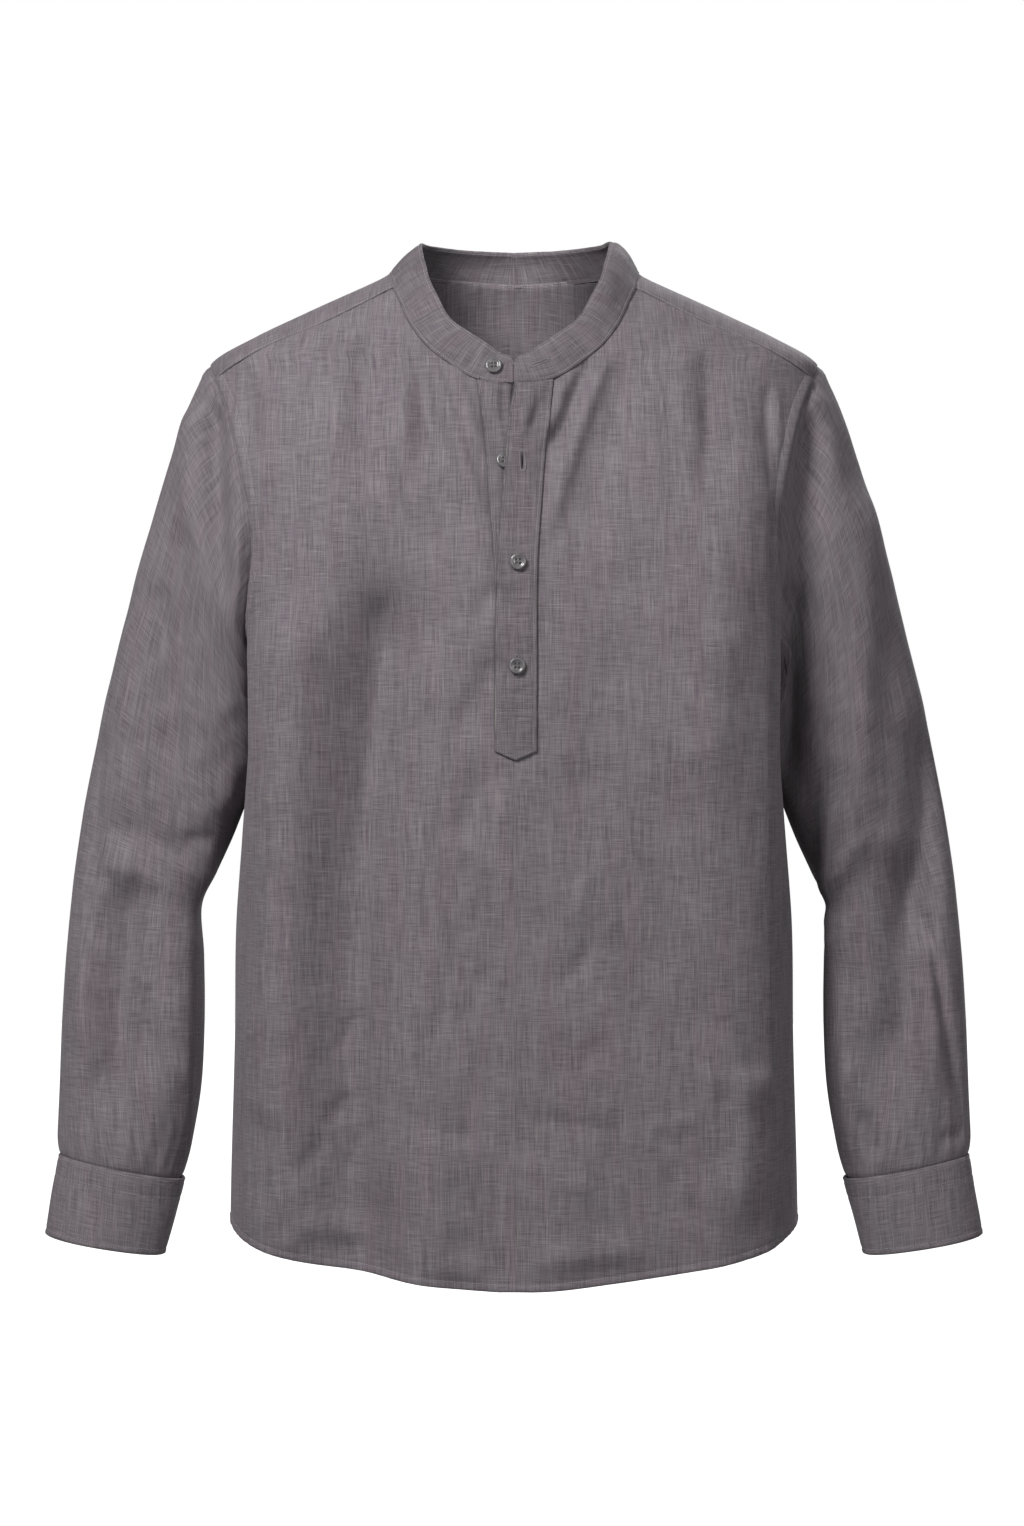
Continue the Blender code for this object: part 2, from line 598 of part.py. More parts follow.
def sleeve_angles():
    """Angles round the sleeve, at the same places as the corners of the pieces that it is sewn to."""
    front_corner, back_corner = armhole_angle(YOKE_FRONT), armhole_angle(YOKE_BACK)
    over = np.linspace(-back_corner, front_corner, YOKE_TIP_COLUMNS + 1)[:-1]
    front = np.linspace(front_corner, 180, UPPER_ROWS + 1)[:-1]
    back = np.linspace(180, 360 - back_corner, BACK_UPPER_ROWS + 1)[:-1]
    return np.concatenate([over, front, back])


def sleeve(name, side):
    """A sleeve, from the armhole seam down to the cuff seam, as one tube."""
    angles = sleeve_angles()
    grid = tube(SLEEVE, angles)
    places = armhole(angles)
    seam = torso(places[:, 0], places[:, 1], folded=False) + [SEAM, 0, 0]
    for row, share in enumerate(CAP_FADE):
        grid[row] += share * (seam - tube(SLEEVE[:1], angles)[0])
    turned_out = grid[:1] + [SEAM_TURN, 0, 0]
    down = np.linspace(0, SHARE_SCALE, len(SLEEVE))[:, None]
    lines = np.array(SLEEVE_FOLDS) * [1, SHARE_SCALE, 1, SHARE_SCALE, 1, 1]
    grid += outward(grid) * folds(lines, angles % 360, down)[..., None]
    grid = np.concatenate([grid[:1], turned_out, grid[1:]])
    return cloth(name, ready(grid, side), closed=True)


def cuff_grid(angles):
    """A cuff as a strip lapped on itself, its upper end lifted clear of the under end."""
    grid = tube(CUFF, angles)
    lift = CUFF_LIFT * ease((angles - CUFF_START - CUFF_LIFT_FROM) / CUFF_LIFT_OVER)
    values = {name: column(CUFF, SLEEVE_COLUMNS, name) for name in SLEEVE_COLUMNS}
    across = (values["outer_across"] + values["inner_across"]) / 2
    height = (values["outer_height"] + values["inner_height"]) / 2
    away = grid - np.stack([across, values["middle"], height], axis=-1)[:, None]
    away /= np.linalg.norm(away, axis=-1, keepdims=True)
    return grid + away * lift[..., None]


def ready(grid, side):
    """Turns a left sleeve's grid from rows downwards into rows upwards, or mirrors it for the right."""
    if side > 0:
        return grid[::-1, ::-1]
    return grid[::-1] * [-1, 1, 1]


def cuff(name, side):
    """A cuff, lapped at the outer back of the wrist."""
    angles = CUFF_START + np.linspace(0, 360 + CUFF_LAP, CUFF_COLUMNS + 1)
    return cloth(name, ready(cuff_grid(angles), side), wall=DOUBLED)


# ---------------------------------------------------------------- buttons
def cutter(name, radius, low, place, sides):
    """A round cutter standing on the height low at a place."""
    middle = (place[0] * MM, place[1] * MM, (low + CUTTER_DEPTH / 2) * MM)
    size = {"radius": radius * MM, "depth": CUTTER_DEPTH * MM}
    bpy.ops.mesh.primitive_cylinder_add(vertices=sides, location=middle, **size)
    tool = bpy.context.object
    tool.name = name
    tool.hide_render = True
    tool.display_type = "WIRE"
    for owner in list(tool.users_collection):
        owner.objects.unlink(tool)
    bpy.data.collections["cutters"].objects.link(tool)
    return tool


def button_mesh():
    """A four-hole button on its back at the origin, its face towards +Z: rounded rim, dished and drilled."""
    size = {"radius": BUTTON_RADIUS * MM, "depth": BUTTON_THICK * MM}
    bpy.ops.mesh.primitive_cylinder_add(vertices=BUTTON_SIDES, location=(0, 0, BUTTON_THICK / 2 * MM), **size)
    blank = bpy.context.object
    rounded = blank.modifiers.new("rounded_rim", "BEVEL")
    rounded.width = BUTTON_EDGE * MM
    rounded.segments = 2
    rounded.limit_method = "ANGLE"
    tools = [cutter("dish_cutter", DISH_RADIUS, BUTTON_THICK - DISH_DEPTH, (0, 0), DISH_SIDES)]
    for x in (-THREAD_PLACE, THREAD_PLACE):
        for y in (-THREAD_PLACE, THREAD_PLACE):
            tools.append(cutter("thread_hole_cutter", THREAD_HOLE, -CUTTER_DEPTH / 2, (x, y), HOLE_SIDES))
    for tool in tools:
        cut = blank.modifiers.new(tool.name, "BOOLEAN")
        cut.operation = "DIFFERENCE"
        cut.solver = "EXACT"
        cut.object = tool
    bpy.context.view_layer.update()
    made = bpy.data.meshes.new_from_object(blank.evaluated_get(bpy.context.evaluated_depsgraph_get()))
    made.transform(blank.matrix_world)
    bpy.data.objects.remove(blank)
    return made


def seat(name, mesh, point, normal, out=BUTTON_GAP):
    """A button on its seat: its back out from point, its face along normal."""
    normal = normal / np.linalg.norm(normal)
    right = np.cross([0, 0, 1], normal)
    right /= np.linalg.norm(right)
    turn = np.stack([right, np.cross(normal, right), normal], axis=-1)
    piece = put(name, mesh.copy(), material(name + "_resin", BUTTON_COLOUR, 0.25))
    place = np.eye(4)
    place[:3, :3] = turn
    place[:3, 3] = (point + normal * out) * MM
    piece.matrix_world = Matrix(place.tolist())
    return piece


def surface_frame(point_at, p, q, step):
    """A point of a surface and the direction out of it, from two steps along the surface."""
    here = point_at(p, q)
    across = point_at(p + step[0], q) - point_at(p - step[0], q)
    up = point_at(p, q + step[1]) - point_at(p, q - step[1])
    return here, np.cross(across, up)


def buttons(mesh):
    """Every button on the piece that carries it."""
    here, normal = surface_frame(band_point, COLLAR_BUTTON_TURN, COLLAR_BUTTON_SHARE, (0.5, 0.1))
    seat("collar_button", mesh, here, normal, COLLAR_BUTTON_GAP)
    for name, seat_out, across, height in BUTTONS:
        here, normal = surface_frame(lambda p, q: on_front(p, q, seat_out), across, height, (2.0, 2.0))
        seat(name, mesh, here, normal)
    around, middle = CUFF_BUTTON_ANGLE + 360 + np.array([-4.0, 0.0, 4.0]), len(CUFF) // 2
    wrist = cuff_grid(around)
    normal = np.cross(wrist[middle, 2] - wrist[middle, 0], wrist[-1, 1] - wrist[0, 1])
    for name, side in (("cuff_button_left", 1), ("cuff_button_right", -1)):
        seat(name, mesh, wrist[middle, 1] * [side, 1, 1], normal * [side, 1, 1])


def main():
    for old in list(bpy.data.objects):
        bpy.data.objects.remove(old, do_unlink=True)
    for name in (NAME, "cutters"):
        bpy.context.scene.collection.children.link(bpy.data.collections.new(name))
    front_body()
    back_body()
    yoke()
    placket_under()
    placket_upper()
    collar_band()
    for word, side in (("left", 1), ("right", -1)):
        sleeve("sleeve_" + word, side)
        cuff("cuff_" + word, side)
    buttons(button_mesh())


main()
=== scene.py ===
"""Band collar shirt: its finished cloth, stitching and buttons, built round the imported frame.

Sizes and places below are millimetres unless they say otherwise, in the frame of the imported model: +Z up, the
front faces -Y, the wearer's left is +X, and the origin is the middle of the neck at the height of the shoulder
points. The torso is one tube of level sections, and a place on it is (turn, height): turn is 0 at the centre
front, 90 at the wearer's left side, 180 at the centre back and 270 at the right.
"""
import math

import bpy
import numpy as np
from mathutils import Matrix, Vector


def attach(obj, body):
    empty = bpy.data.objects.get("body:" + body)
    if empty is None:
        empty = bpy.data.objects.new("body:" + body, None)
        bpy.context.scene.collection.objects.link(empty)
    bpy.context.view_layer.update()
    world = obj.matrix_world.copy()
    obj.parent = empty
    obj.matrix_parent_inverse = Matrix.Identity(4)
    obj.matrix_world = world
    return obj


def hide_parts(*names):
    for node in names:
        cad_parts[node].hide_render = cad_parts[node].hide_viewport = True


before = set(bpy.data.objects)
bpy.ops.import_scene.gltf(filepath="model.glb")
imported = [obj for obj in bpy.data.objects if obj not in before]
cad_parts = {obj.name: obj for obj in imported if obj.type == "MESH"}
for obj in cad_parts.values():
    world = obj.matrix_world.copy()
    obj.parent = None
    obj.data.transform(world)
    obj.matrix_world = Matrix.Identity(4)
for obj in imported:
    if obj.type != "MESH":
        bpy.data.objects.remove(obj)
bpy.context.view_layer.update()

MM = 0.001

# ---------------------------------------------------------------- sizes shared with the frame
CLOTH = 1.1             # wall of single cloth
FOLDED = 1.5            # wall of the plackets, which are folded cloth
DOUBLED = 2.0           # wall of the band and cuffs
CORNER = 0.82           # squareness of a torso section: 1 is an ellipse, less is squarer
FRONT_POWER = 3.0       # power of the flatter curve of the front below the yoke seams: 2 / CORNER is the plain one
TUCK_SPREAD = 0.42      # how far the tuck beside the arm spreads to front and back
HEM_LOW, HEM_RISE, HEM_POWER, HEM_CORNER = -718.0, 28.5, 1.2, 11.0
ARMHOLE_TOP, ARMHOLE_LOW = -59.0, -275.0
ARMHOLE_FRONT, ARMHOLE_BACK, ARMHOLE_POWER = 32.0, 29.0, 0.9    # turns that it is scooped to front and back
YOKE_FRONT, YOKE_BACK = -71.5, -95.0            # heights at which the yoke's edges meet the armhole
SLOT_LOW, SLOT_TOP = -332.0, -75.1              # ends of the front's slot
UPPER_OUT = 2.15        # outer face of the upper placket, out from the front's
NECK_POINT, NECK_BACK = 43.0, 135.0             # turns at which the neckline passes from front to yoke to back
SLEEVE_CORNER = 0.92    # squareness of a sleeve's section
GAPE, GAPE_HEIGHT, GAPE_REACH = 5.2, -127.0, 46.0   # the upper placket's stand off by the open button

SECTION_COLUMNS = ("height", "half_width", "front_depth", "back_depth", "side_tuck")
SECTIONS = (
    (-725, 206.0, 126, 122, 0.00),
    (-668, 205.5, 127, 122, 0.00),
    (-550, 202.5, 129, 122, 0.00),
    (-450, 202.5, 131, 124, 0.01),
    (-390, 211.0, 132, 126, 0.085),
    (-330, 218.0, 132, 128, 0.18),
    (-275, 218.0, 131, 129, 0.17),
    (-230, 214.5, 129, 129, 0.13),
    (-190, 213.0, 125, 128, 0.08),
    (-150, 219.0, 117, 124, 0.03),
    (-120, 221.0, 109, 119, 0.01),
    (-90, 221.0, 99, 112, 0.00),
    (-72, 221.5, 91, 107, 0.00),
    (-59, 220.5, 86, 103, 0.00),
    (-40, 189.5, 78, 97, 0.00),
    (-25, 158.5, 68, 89, 0.00),
    (-11, 128.0, 58, 79, 0.00),
    (-3, 110.5, 50, 72, 0.00),
    (5, 94.5, 40, 65, 0.00),
    (12, 86.0, 30, 58, 0.00),
)
NECKLINE_COLUMNS = ("turn", "height")
NECKLINE = (
    (0, -81.0), (2.7, -80.0), (5.8, -75.0), (9.3, -63.7), (15, -47.4), (23.6, -28.6),
    (43, -7.0), (65, 3.0), (90, 8.0), (120, 9.0), (150, 7.5), (180, 4.5),
)
YOKE_SEAM = ((NECK_POINT, -7.0), (46.5, -31.0), (53.0, -45.0), (59.5, -60.0), (73.8, YOKE_FRONT))
BAND_COLUMNS = ("turn", "across", "depth", "height")
BAND_TOP = (
    (0, 0, -89, -62),
    (2.7, 9, -89, -60),
    (5.8, 20, -88, -52.5),
    (9.3, 32, -85, -44.5),
    (15, 45, -79, -34.5),
    (23.6, 57, -67, -13),
    (43, 64.5, -46, 9),
    (65, 67.5, -24, 22),
    (90, 68.5, -1, 30),
    (120, 62, 25, 31.5),
    (150, 36, 43, 30.5),
    (180, 0, 50, 29.5),
)
BAND_END = 0.55         # half the space between the ends of the band
BAND_BULGE = 1.5        # its roundness from seam to top edge
PLACKET_COLUMNS = ("height", "slot_right", "slot_left", "placket_right", "placket_left")
PLACKET = (
    (-725, -10.5, 13.0, -12.8, 15.3),
    (-336, -10.5, 13.0, -12.8, 15.3),
    (-270, -10.5, 13.0, -12.4, 15.3),
    (-238, -11.5, 13.0, -11.8, 15.3),
    (-196, -13.5, 14.0, -9.8, 16.3),
    (-166, -16.2, 15.8, -7.6, 18.6),
    (-135, -18.2, 17.8, -5.2, 21.0),
    (-112, -20.2, 20.0, -3.4, 23.4),
    (-81, -24.6, 24.0, 1.0, 26.8),
)
PLACKET_FOOT, PLACKET_TIP = -341.0, -347.0
SLEEVE_COLUMNS = ("outer_across", "outer_height", "inner_across", "inner_height", "middle", "half_depth")
SLEEVE = (
    (221.0, -59, 180.0, -275, 0, 62),
    (236.0, -90, 182.5, -287, 1, 62),
    (250.0, -128, 182.5, -301, 5, 62),
    (263.5, -171, 182.5, -318, 9, 61),
    (276.0, -213, 184.0, -337, 12, 60),
    (287.5, -259, 189.0, -358, 15, 58),
    (298.5, -302, 197.5, -380, 16, 55),
    (308.0, -347, 207.5, -405, 16, 52),
    (316.0, -390, 219.0, -430, 16, 50),
    (322.0, -434, 229.5, -454, 14, 50),
    (326.5, -485, 227.5, -490, 9, 50),
    (329.0, -530, 226.5, -537, 3, 49),
    (330.5, -580, 228.0, -583, -4, 46),
    (331.0, -612, 234.0, -622, -9, 41),
    (330.0, -632, 241.5, -650, -13, 37),
)
CAP_FADE = (1.0, 0.62, 0.28, 0.08, 0.0)     # share of each upper row that is the armhole's shape
CUFF = (
    (330.8, -632.6, 240.6, -650.8, -13, 37.6),
    (334.8, -661, 247.3, -677.5, -16, 36.4),
    (339.5, -689, 254.0, -703.7, -19, 35.0),
)
CUFF_START, CUFF_LAP, CUFF_LIFT = 296.0, 32.0, 2.6      # angles of its under end and overlap, and its lift there
CUFF_RISE_AFTER, CUFF_RISE_OVER = 170, 150              # angles from its under end over which it lifts
CUFF_COLUMNS, CUFF_ROWS = 150, 30
SLEEVE_SIDES = 148

# ---------------------------------------------------------------- creases
# Each row is a soft ridge (out > 0) or trough (out < 0) along a straight or bowed line: from_across, from_height,
# to_across, to_height, bow, reach_right, reach_left, out. On a line that runs down, reach_right is its width on the
# side of growing across; on a line that runs towards growing across, it is the width above the line.
FRONT_CREASES = (
    # the long hollow down the wearer's right side, the broad swells beside it, and the fullness of the left side
    (-80, -205, -98, -830, -27, 26, 30, -20.0),
    (-76, -150, -98, -830, -25, 30, 34, -9.0),
    (-92, -226, -108, -420, 0, 9, 11, -4.0),
    (-156, -230, -180, -760, 0, 20, 24, 10.0),
    (-146, -110, -150, -300, 0, 30, 26, 4.0),
    (174, -110, 178, -800, 0, 11, 50, 12.0),
    (72, -58, 50, -200, 0, 14, 36, -7.0),
    # drag lines from the band towards the foot of the open neck, right then left
    (-44, -66, -24, -134, 0, 5, 7, 4.6),
    (-60, -60, -20, -192, 2, 5, 10, 8.4),
    (-74, -72, -24, -198, 4, 16, 9, -5.0),
    (-62, -58, -62, -150, -2, 13, 8, -3.6),
    (-80, -50, -76, -150, 0, 7, 10, 2.6),
    (-17, -84, -15, -124, 0, 3, 5, -2.0),
    (66, -58, 22, -194, -1, 6, 9, 6.4),
    (56, -62, 24, -134, 0, 5, 5, -6.0),
    (40, -70, 22, -122, 0, 4, 4, 4.0),
    (92, -44, 62, -140, 2, 9, 9, -2.0),
    # short upright folds under the front yoke seams
    (-106, -40, -106, -160, 0, 12, 8, -4.6),
    (-124, -48, -125, -150, 0, 7, 8, 3.6),
    (-140, -130, -142, -262, 0, 10, 16, -3.2),
    (-150, -60, -152, -130, 0, 7, 7, -2.0),
    (-172, -66, -174, -160, 0, 7, 8, 2.6),
    (-188, -66, -187, -132, 0, 4, 5, -2.4),
    (118, -46, 120, -120, 0, 7, 8, 2.0),
    (137, -50, 132, -170, 2, 13, 6, -4.6),
    (160, -100, 158, -300, 0, 13, 16, 3.0),
    (181, -80, 179, -165, 0, 4, 5, -3.2),
    (187, -74, 188, -130, 0, 3, 4, 2.2),
    # the wearer's left breast and side
    (141, -160, 137, -396, 0, 16, 42, 6.5),
    (174, -210, 172, -430, 0, 14, 18, -2.6),
    (100, -330, 96, -520, 0, 24, 22, -2.4),
    (62, -250, 58, -400, 0, 22, 18, -2.6),
    (158, -565, 162, -672, 0, 14, 10, 5.6),
    (132, -570, 192, -572, 0, 7, 11, 3.8),
    (136, -556, 137, -600, 0, 4, 8, 2.4),
    (146, -566, 148, -592, 0, 5, 5, -2.0),
    # beside and below the placket
    (-11, -272, -42, -340, 0, 6, 9, -3.6),
    (-13, -222, -24, -254, 0, 5, 6, -2.6),
    (-16, -352, -40, -404, 0, 7, 9, -3.2),
    (-2, -350, -12, -470, 0, 10, 9, 1.6),
    (30, -286, 24, -316, 0, 7, 5, 2.2),
    (44, -340, 52, -420, 0, 16, 16, -2.4),
    (-14, -420, -26, -470, 0, 5, 4, -2.3),
    (-36, -458, -62, -560, 2, 6, 5, -2.3),
    (-20, -488, -40, -542, 0, 5, 4, -2.6),
    (56, -418, 34, -470, 0, 5, 5, 1.8),
    (64, -470, 30, -508, 0, 6, 8, -2.6),
    (68, -452, 60, -492, 0, 4, 4, 1.6),
    (60, -540, 48, -566, 0, 5, 5, -1.8),
    (-108, -520, -130, -556, 0, 5, 5, -2.2),
    (-116, -580, -136, -606, 0, 6, 6, -2.6),
    (-104, -600, -122, -642, 0, 5, 5, -2.4),
    (-134, -608, -152, -640, 0, 7, 7, -2.6),
    # low on the front: the side edges, the level wrinkles and the roll of the hem
    (-176, -590, -178, -668, 0, 12, 11, -6.0),
    (-160, -640, -156, -700, 0, 10, 11, 3.6),
    (-158, -672, -102, -682, 0, 12, 9, 5.0),
    (10, -596, 74, -606, 0, 6, 6, -2.0),
    (-6, -628, 30, -634, 0, 6, 7, 1.8),
    (-70, -604, -24, -612, 0, 6, 6, -1.8),
    (90, -604, 128, -598, 0, 5, 6, 1.6),
    (32, -600, 30, -780, 0, 22, 24, 6.0),
    (144, -620, 146, -780, 0, 14, 22, 4.0),
    (10, -696, 96, -688, 0, 12, 9, 4.4),
    (-62, -700, -22, -704, 0, 10, 8, 3.0),
    (-62, -600, -64, -780, 0, 20, 20, 6.0),
    (30, -640, 56, -646, 0, 7, 6, 1.8),
)
BACK_CREASES = (
    (-96, -150, -118, -620, 4, 26, 20, -10.9),
    (-64, -130, -74, -420, 0, 18, 20, 5.9),
    (-30, -250, -44, -730, 0, 26, 22, 9.1),
    (-150, -230, -160, -520, 3, 18, 22, 5.9),
    (-172, -420, -168, -700, 0, 16, 18, -6.5),
    (6, -120, 0, -380, 0, 16, 18, -5.5),
    (52, -170, 62, -560, -4, 20, 26, -10.9),
    (84, -200, 92, -480, 0, 14, 18, 5.5),
    (128, -240, 140, -700, 0, 24, 22, 9.1),
    (172, -330, 176, -640, 0, 16, 18, -6.2),
    (96, -560, 92, -720, 0, 16, 14, -5.9),
    (-110, -600, -106, -724, 0, 14, 12, 4.7),
    (20, -600, 24, -730, 0, 14, 16, -5.5),
    (150, -110, 120, -220, 4, 9, 11, -5.5),
    (170, -120, 146, -250, 4, 9, 10, 4.4),
    (-150, -110, -120, -220, -4, 11, 9, -5.5),
    (-170, -120, -146, -250, -4, 10, 9, 4.4),
    (-60, -520, 20, -548, 4, 7, 8, 2.3),
    (40, -600, 120, -580, -4, 7, 8, -2.3),
    (-150, -560, -84, -590, 4, 7, 8, 2.6),
    (-40, -330, 30, -350, 3, 8, 9, -2.2),
    (70, -380, 130, -360, -3, 8, 8, 2.2),
)
# Creases of a sleeve, given as seen from its own side of the shirt: across grows away from the body.
RIGHT_SLEEVE_FRONT = (
    (217, -80, 198, -240, 7, 7, 12, -13.0),
    (234, -86, 226, -196, 5, 9, 8, 5.0),
    (208, -74, 206, -98, 0, 3, 4, -2.4),
    (202, -96, 203, -120, 0, 3, 4, -2.2),
    (205, -130, 196, -210, 0, 6, 6, 2.4),
    (236, -176, 254, -274, 0, 10, 9, -5.0),
    (270, -236, 288, -392, 0, 14, 14, 5.0),
    (257, -220, 240, -376, 0, 8, 7, -5.0),
    (194, -160, 197, -390, 0, 40, 6, 13.0),
    (200, -330, 234, -456, 0, 32, 8, 9.0),
    (196, -294, 226, -330, 0, 9, 7, 2.2),
    (196, -326, 228, -362, 0, 8, 9, -2.0),
    (196, -362, 234, -388, 0, 9, 8, 2.6),
    (216, -400, 240, -404, 0, 6, 6, -2.6),
    (300, -394, 222, -424, -3, 11, 12, -5.0),
    (306, -420, 232, -446, -3, 8, 10, 3.2),
    (300, -430, 316, -560, 0, 7, 7, 5.0),
    (276, -424, 290, -606, 0, 17, 14, -15.0),
    (302, -320, 305, -520, 0, 6, 9, -4.5),
    (266, -506, 284, -600, 0, 5, 6, -4.0),
    (238, -430, 240, -626, 0, 22, 8, 8.0),
    (300, -560, 302, -622, 0, 7, 8, -2.6),
)
LEFT_SLEEVE_FRONT = (
    (213, -90, 201, -256, 0, 13, 12, -16.0),
    (200, -216, 196, -372, 0, 11, 14, -16.0),
    (218, -78, 231, -156, 0, 9, 7, 3.6),
    (250, -140, 248, -410, 0, 15, 30, 12.0),
    (230, -360, 226, -490, 0, 22, 7, 9.0),
    (234, -450, 240, -626, 0, 12, 7, 7.0),
    (304, -310, 288, -482, 3, 12, 18, -14.0),
    (258, -396, 226, -440, -2, 9, 11, 4.6),
    (290, -400, 276, -606, 0, 13, 22, -17.0),
    (298, -470, 300, -600, 0, 8, 9, 3.0),
    (299, -452, 323, -600, -1, 4, 5, -5.6),
    (250, -596, 262, -634, 0, 8, 8, -3.6),
    (276, -540, 280, -630, 0, 8, 8, 2.6),
    (306, -618, 324, -616, 0, 5, 6, -3.0),
    (232, -470, 230, -600, 0, 8, 7, 2.6),
)
SLEEVE_BACK = (
    (216, -84, 206, -220, 3, 8, 9, -3.5),
    (236, -110, 226, -260, 2, 11, 11, 4.0),
    (262, -180, 232, -330, 5, 13, 12, -4.8),
    (280, -240, 262, -400, 4, 12, 12, 4.2),
    (236, -300, 222, -400, 2, 10, 10, 4.0),
    (312, -380, 240, -440, -5, 10, 10, 5.2),
    (318, -412, 246, -462, -5, 8, 9, -4.2),
    (306, -350, 250, -410, -4, 8, 9, -3.5),
    (304, -450, 276, -580, 4, 13, 12, -5.2),
    (284, -470, 262, -590, 3, 10, 10, 3.8),
    (318, -480, 300, -610, 3, 9, 9, 3.5),
    (262, -520, 252, -610, 2, 7, 8, -3.0),
    (294, -560, 288, -630, 1, 6, 7, -3.0),
)

YOKE_CREASES = (
    (60, 4, 150, -34, 4, 9, 9, 1.2),
    (-60, 4, -150, -34, 4, 9, 9, 1.2),
    (90, -18, 190, -52, 3, 7, 9, -1.3),
    (-90, -18, -190, -52, -3, 7, 9, -1.3),
    (-30, 4, -42, -92, 0, 10, 12, 1.4),
    (36, 4, 54, -92, 0, 12, 10, -1.4),
    (0, 4, 4, -92, 0, 12, 12, 1.0),
)
# Creases of the band: across is its turn, and height its twentieths from seam to top edge.
BAND_CREASES = (
    (60, 20, 52, 0, 0, 5, 5, 0.5),
    (8, 17, 104, 16, 0, 5, 12, 5.0),
    (-34, 20, -26, 0, 0, 4, 4, -0.5),
    (-18, 20, -12, 2, 0, 3, 3, 0.4),
    (150, 20, 160, 2, 0, 8, 8, -0.8),
    (-165, 18, -175, 0, 0, 7, 7, 0.7),
    (118, 20, 112, 0, 0, 6, 6, 0.6),
)

# ---------------------------------------------------------------- stitching and buttons
STITCH_PITCH = 1.75
STITCH_LENGTH = 1.25
THREAD = 0.34           # thickness of a stitch
SEAM_SHADOW_HALF, SEAM_SHADOW_STEP = 0.46, 1.6        # half width and step of the near-black cord that paints shadow in the fold of a seam
BUTTON_THREAD = 0.27    # half width of the threads between a button's holes
ARMHOLE_STITCH = 7.2    # distance of each row of stitches from its edge
YOKE_STITCH = 1.8
HEM_STITCH = 5.0
BAND_STITCH = 1.5
PLACKET_STITCH = 1.6
BAND_INNER_STITCH = 1.4
CUFF_TOP_STITCH = 1.6
CUFF_SECOND_STITCH = 13.6
CUFF_LOW_STITCH = 3.6
CUFF_END_STITCH = 2.0
FOOT_STITCH_HEIGHT = -312.5

# Slits of the upper placket, one for each placket button: across, height, half length, half of how wide it is open.
SLITS = ((5.9, -138.2, 7.0, 1.0), (2.8, -209.4, 7.4, 0.25), (2.1, -281.9, 7.4, 0.25))
COLLAR_SLIT = (2.2, 5.1)    # turns of its ends
COLLAR_SLIT_SHARE, COLLAR_SLIT_OPEN = 0.55, 0.35    # its share of the band's height, and half its opening
PLACKET_BINDING, COLLAR_BINDING = 0.46, 0.42        # half widths of the buttonholes' bound edges


# ---------------------------------------------------------------- curves
def column(table, names, name):
    """One named column of a table as numbers."""
    return np.array([row[names.index(name)] for row in table], float)


def smooth(knots, values, at):
    """Smooth curve through the knots: cubic pieces whose slopes come from the neighbouring knots."""
    at = np.clip(np.asarray(at, float), knots[0], knots[-1])
    slope = np.gradient(values, knots)
    left = np.clip(np.searchsorted(knots, at) - 1, 0, len(knots) - 2)
    span = knots[left + 1] - knots[left]
    t = (at - knots[left]) / span
    value_part = (1 + 2 * t) * (1 - t) ** 2 * values[left] + t * t * (3 - 2 * t) * values[left + 1]
    slope_part = t * (1 - t) ** 2 * slope[left] - t * t * (1 - t) * slope[left + 1]
    return value_part + span * slope_part


def along(table, names, key, name, at):
    """A table's named column, read as a smooth curve against its key column."""
    return smooth(column(table, names, key), column(table, names, name), at)


def ease(share):
    """0 to 1 with level ends: 3s^2 - 2s^3."""
    share = np.clip(share, 0.0, 1.0)
    return share * share * (3 - 2 * share)


def bell(off, reach):
    """Bell curve, 1 in the middle: exp(-(off / reach)^2)."""
    return np.exp(-(off / reach) ** 2)


def creases(table, p, q):
    """Sum of the table's creases at places (p, q): each a bell across its bowed line, risen to its full size
    over twice its width and eased off over the last third."""
    total = np.zeros(np.broadcast(p, q).shape)
    for p0, q0, p1, q1, bow, right, left, out in table:
        dp, dq = p1 - p0, q1 - q0
        length = math.hypot(dp, dq)
        share = ((p - p0) * dp + (q - q0) * dq) / length ** 2
        off = ((q - q0) * dp - (p - p0) * dq) / length - bow * 4 * share * (1 - share)
        rise = min(0.35 * length, max(12.0, 1.1 * (right + left)))
        fade = ease((share * length + 2) / rise) * ease((1.06 - share) / 0.34)
        total = total + out * bell(off, np.where(off > 0, right, left)) * fade
    return total


WRINKLES = np.random.default_rng(11)
WRINKLE_WAVES = [(WRINKLES.uniform(0, 2 * math.pi), WRINKLES.uniform(24, 70), WRINKLES.uniform(0, 2 * math.pi))
                 for _ in range(26)]


def crumple(p, q, size):
    """Faint unevenness of washed cloth: a mean of crossed sine waves 24 to 70 mm long, in many directions."""
    total = 0.0
    for way, length, phase in WRINKLE_WAVES:
        total = total + np.sin((p * math.cos(way) + q * math.sin(way)) * 2 * math.pi / length + phase)
    return size * total / math.sqrt(len(WRINKLE_WAVES))


def pucker(run, seed):
    """Uneven small pulls along a seam, -1 to 1: three sine waves 7 to 19 mm long with drifting phase."""
    drift = 1.3 * np.sin(run / 31.0 + seed)
    return (np.sin(run * 2 * math.pi / 8.3 + drift + seed) * 0.5 + np.sin(run * 2 * math.pi / 12.7 + 2 * seed) * 0.3
            + np.sin(run * 2 * math.pi / 19.1 + 3 * seed + drift) * 0.3)


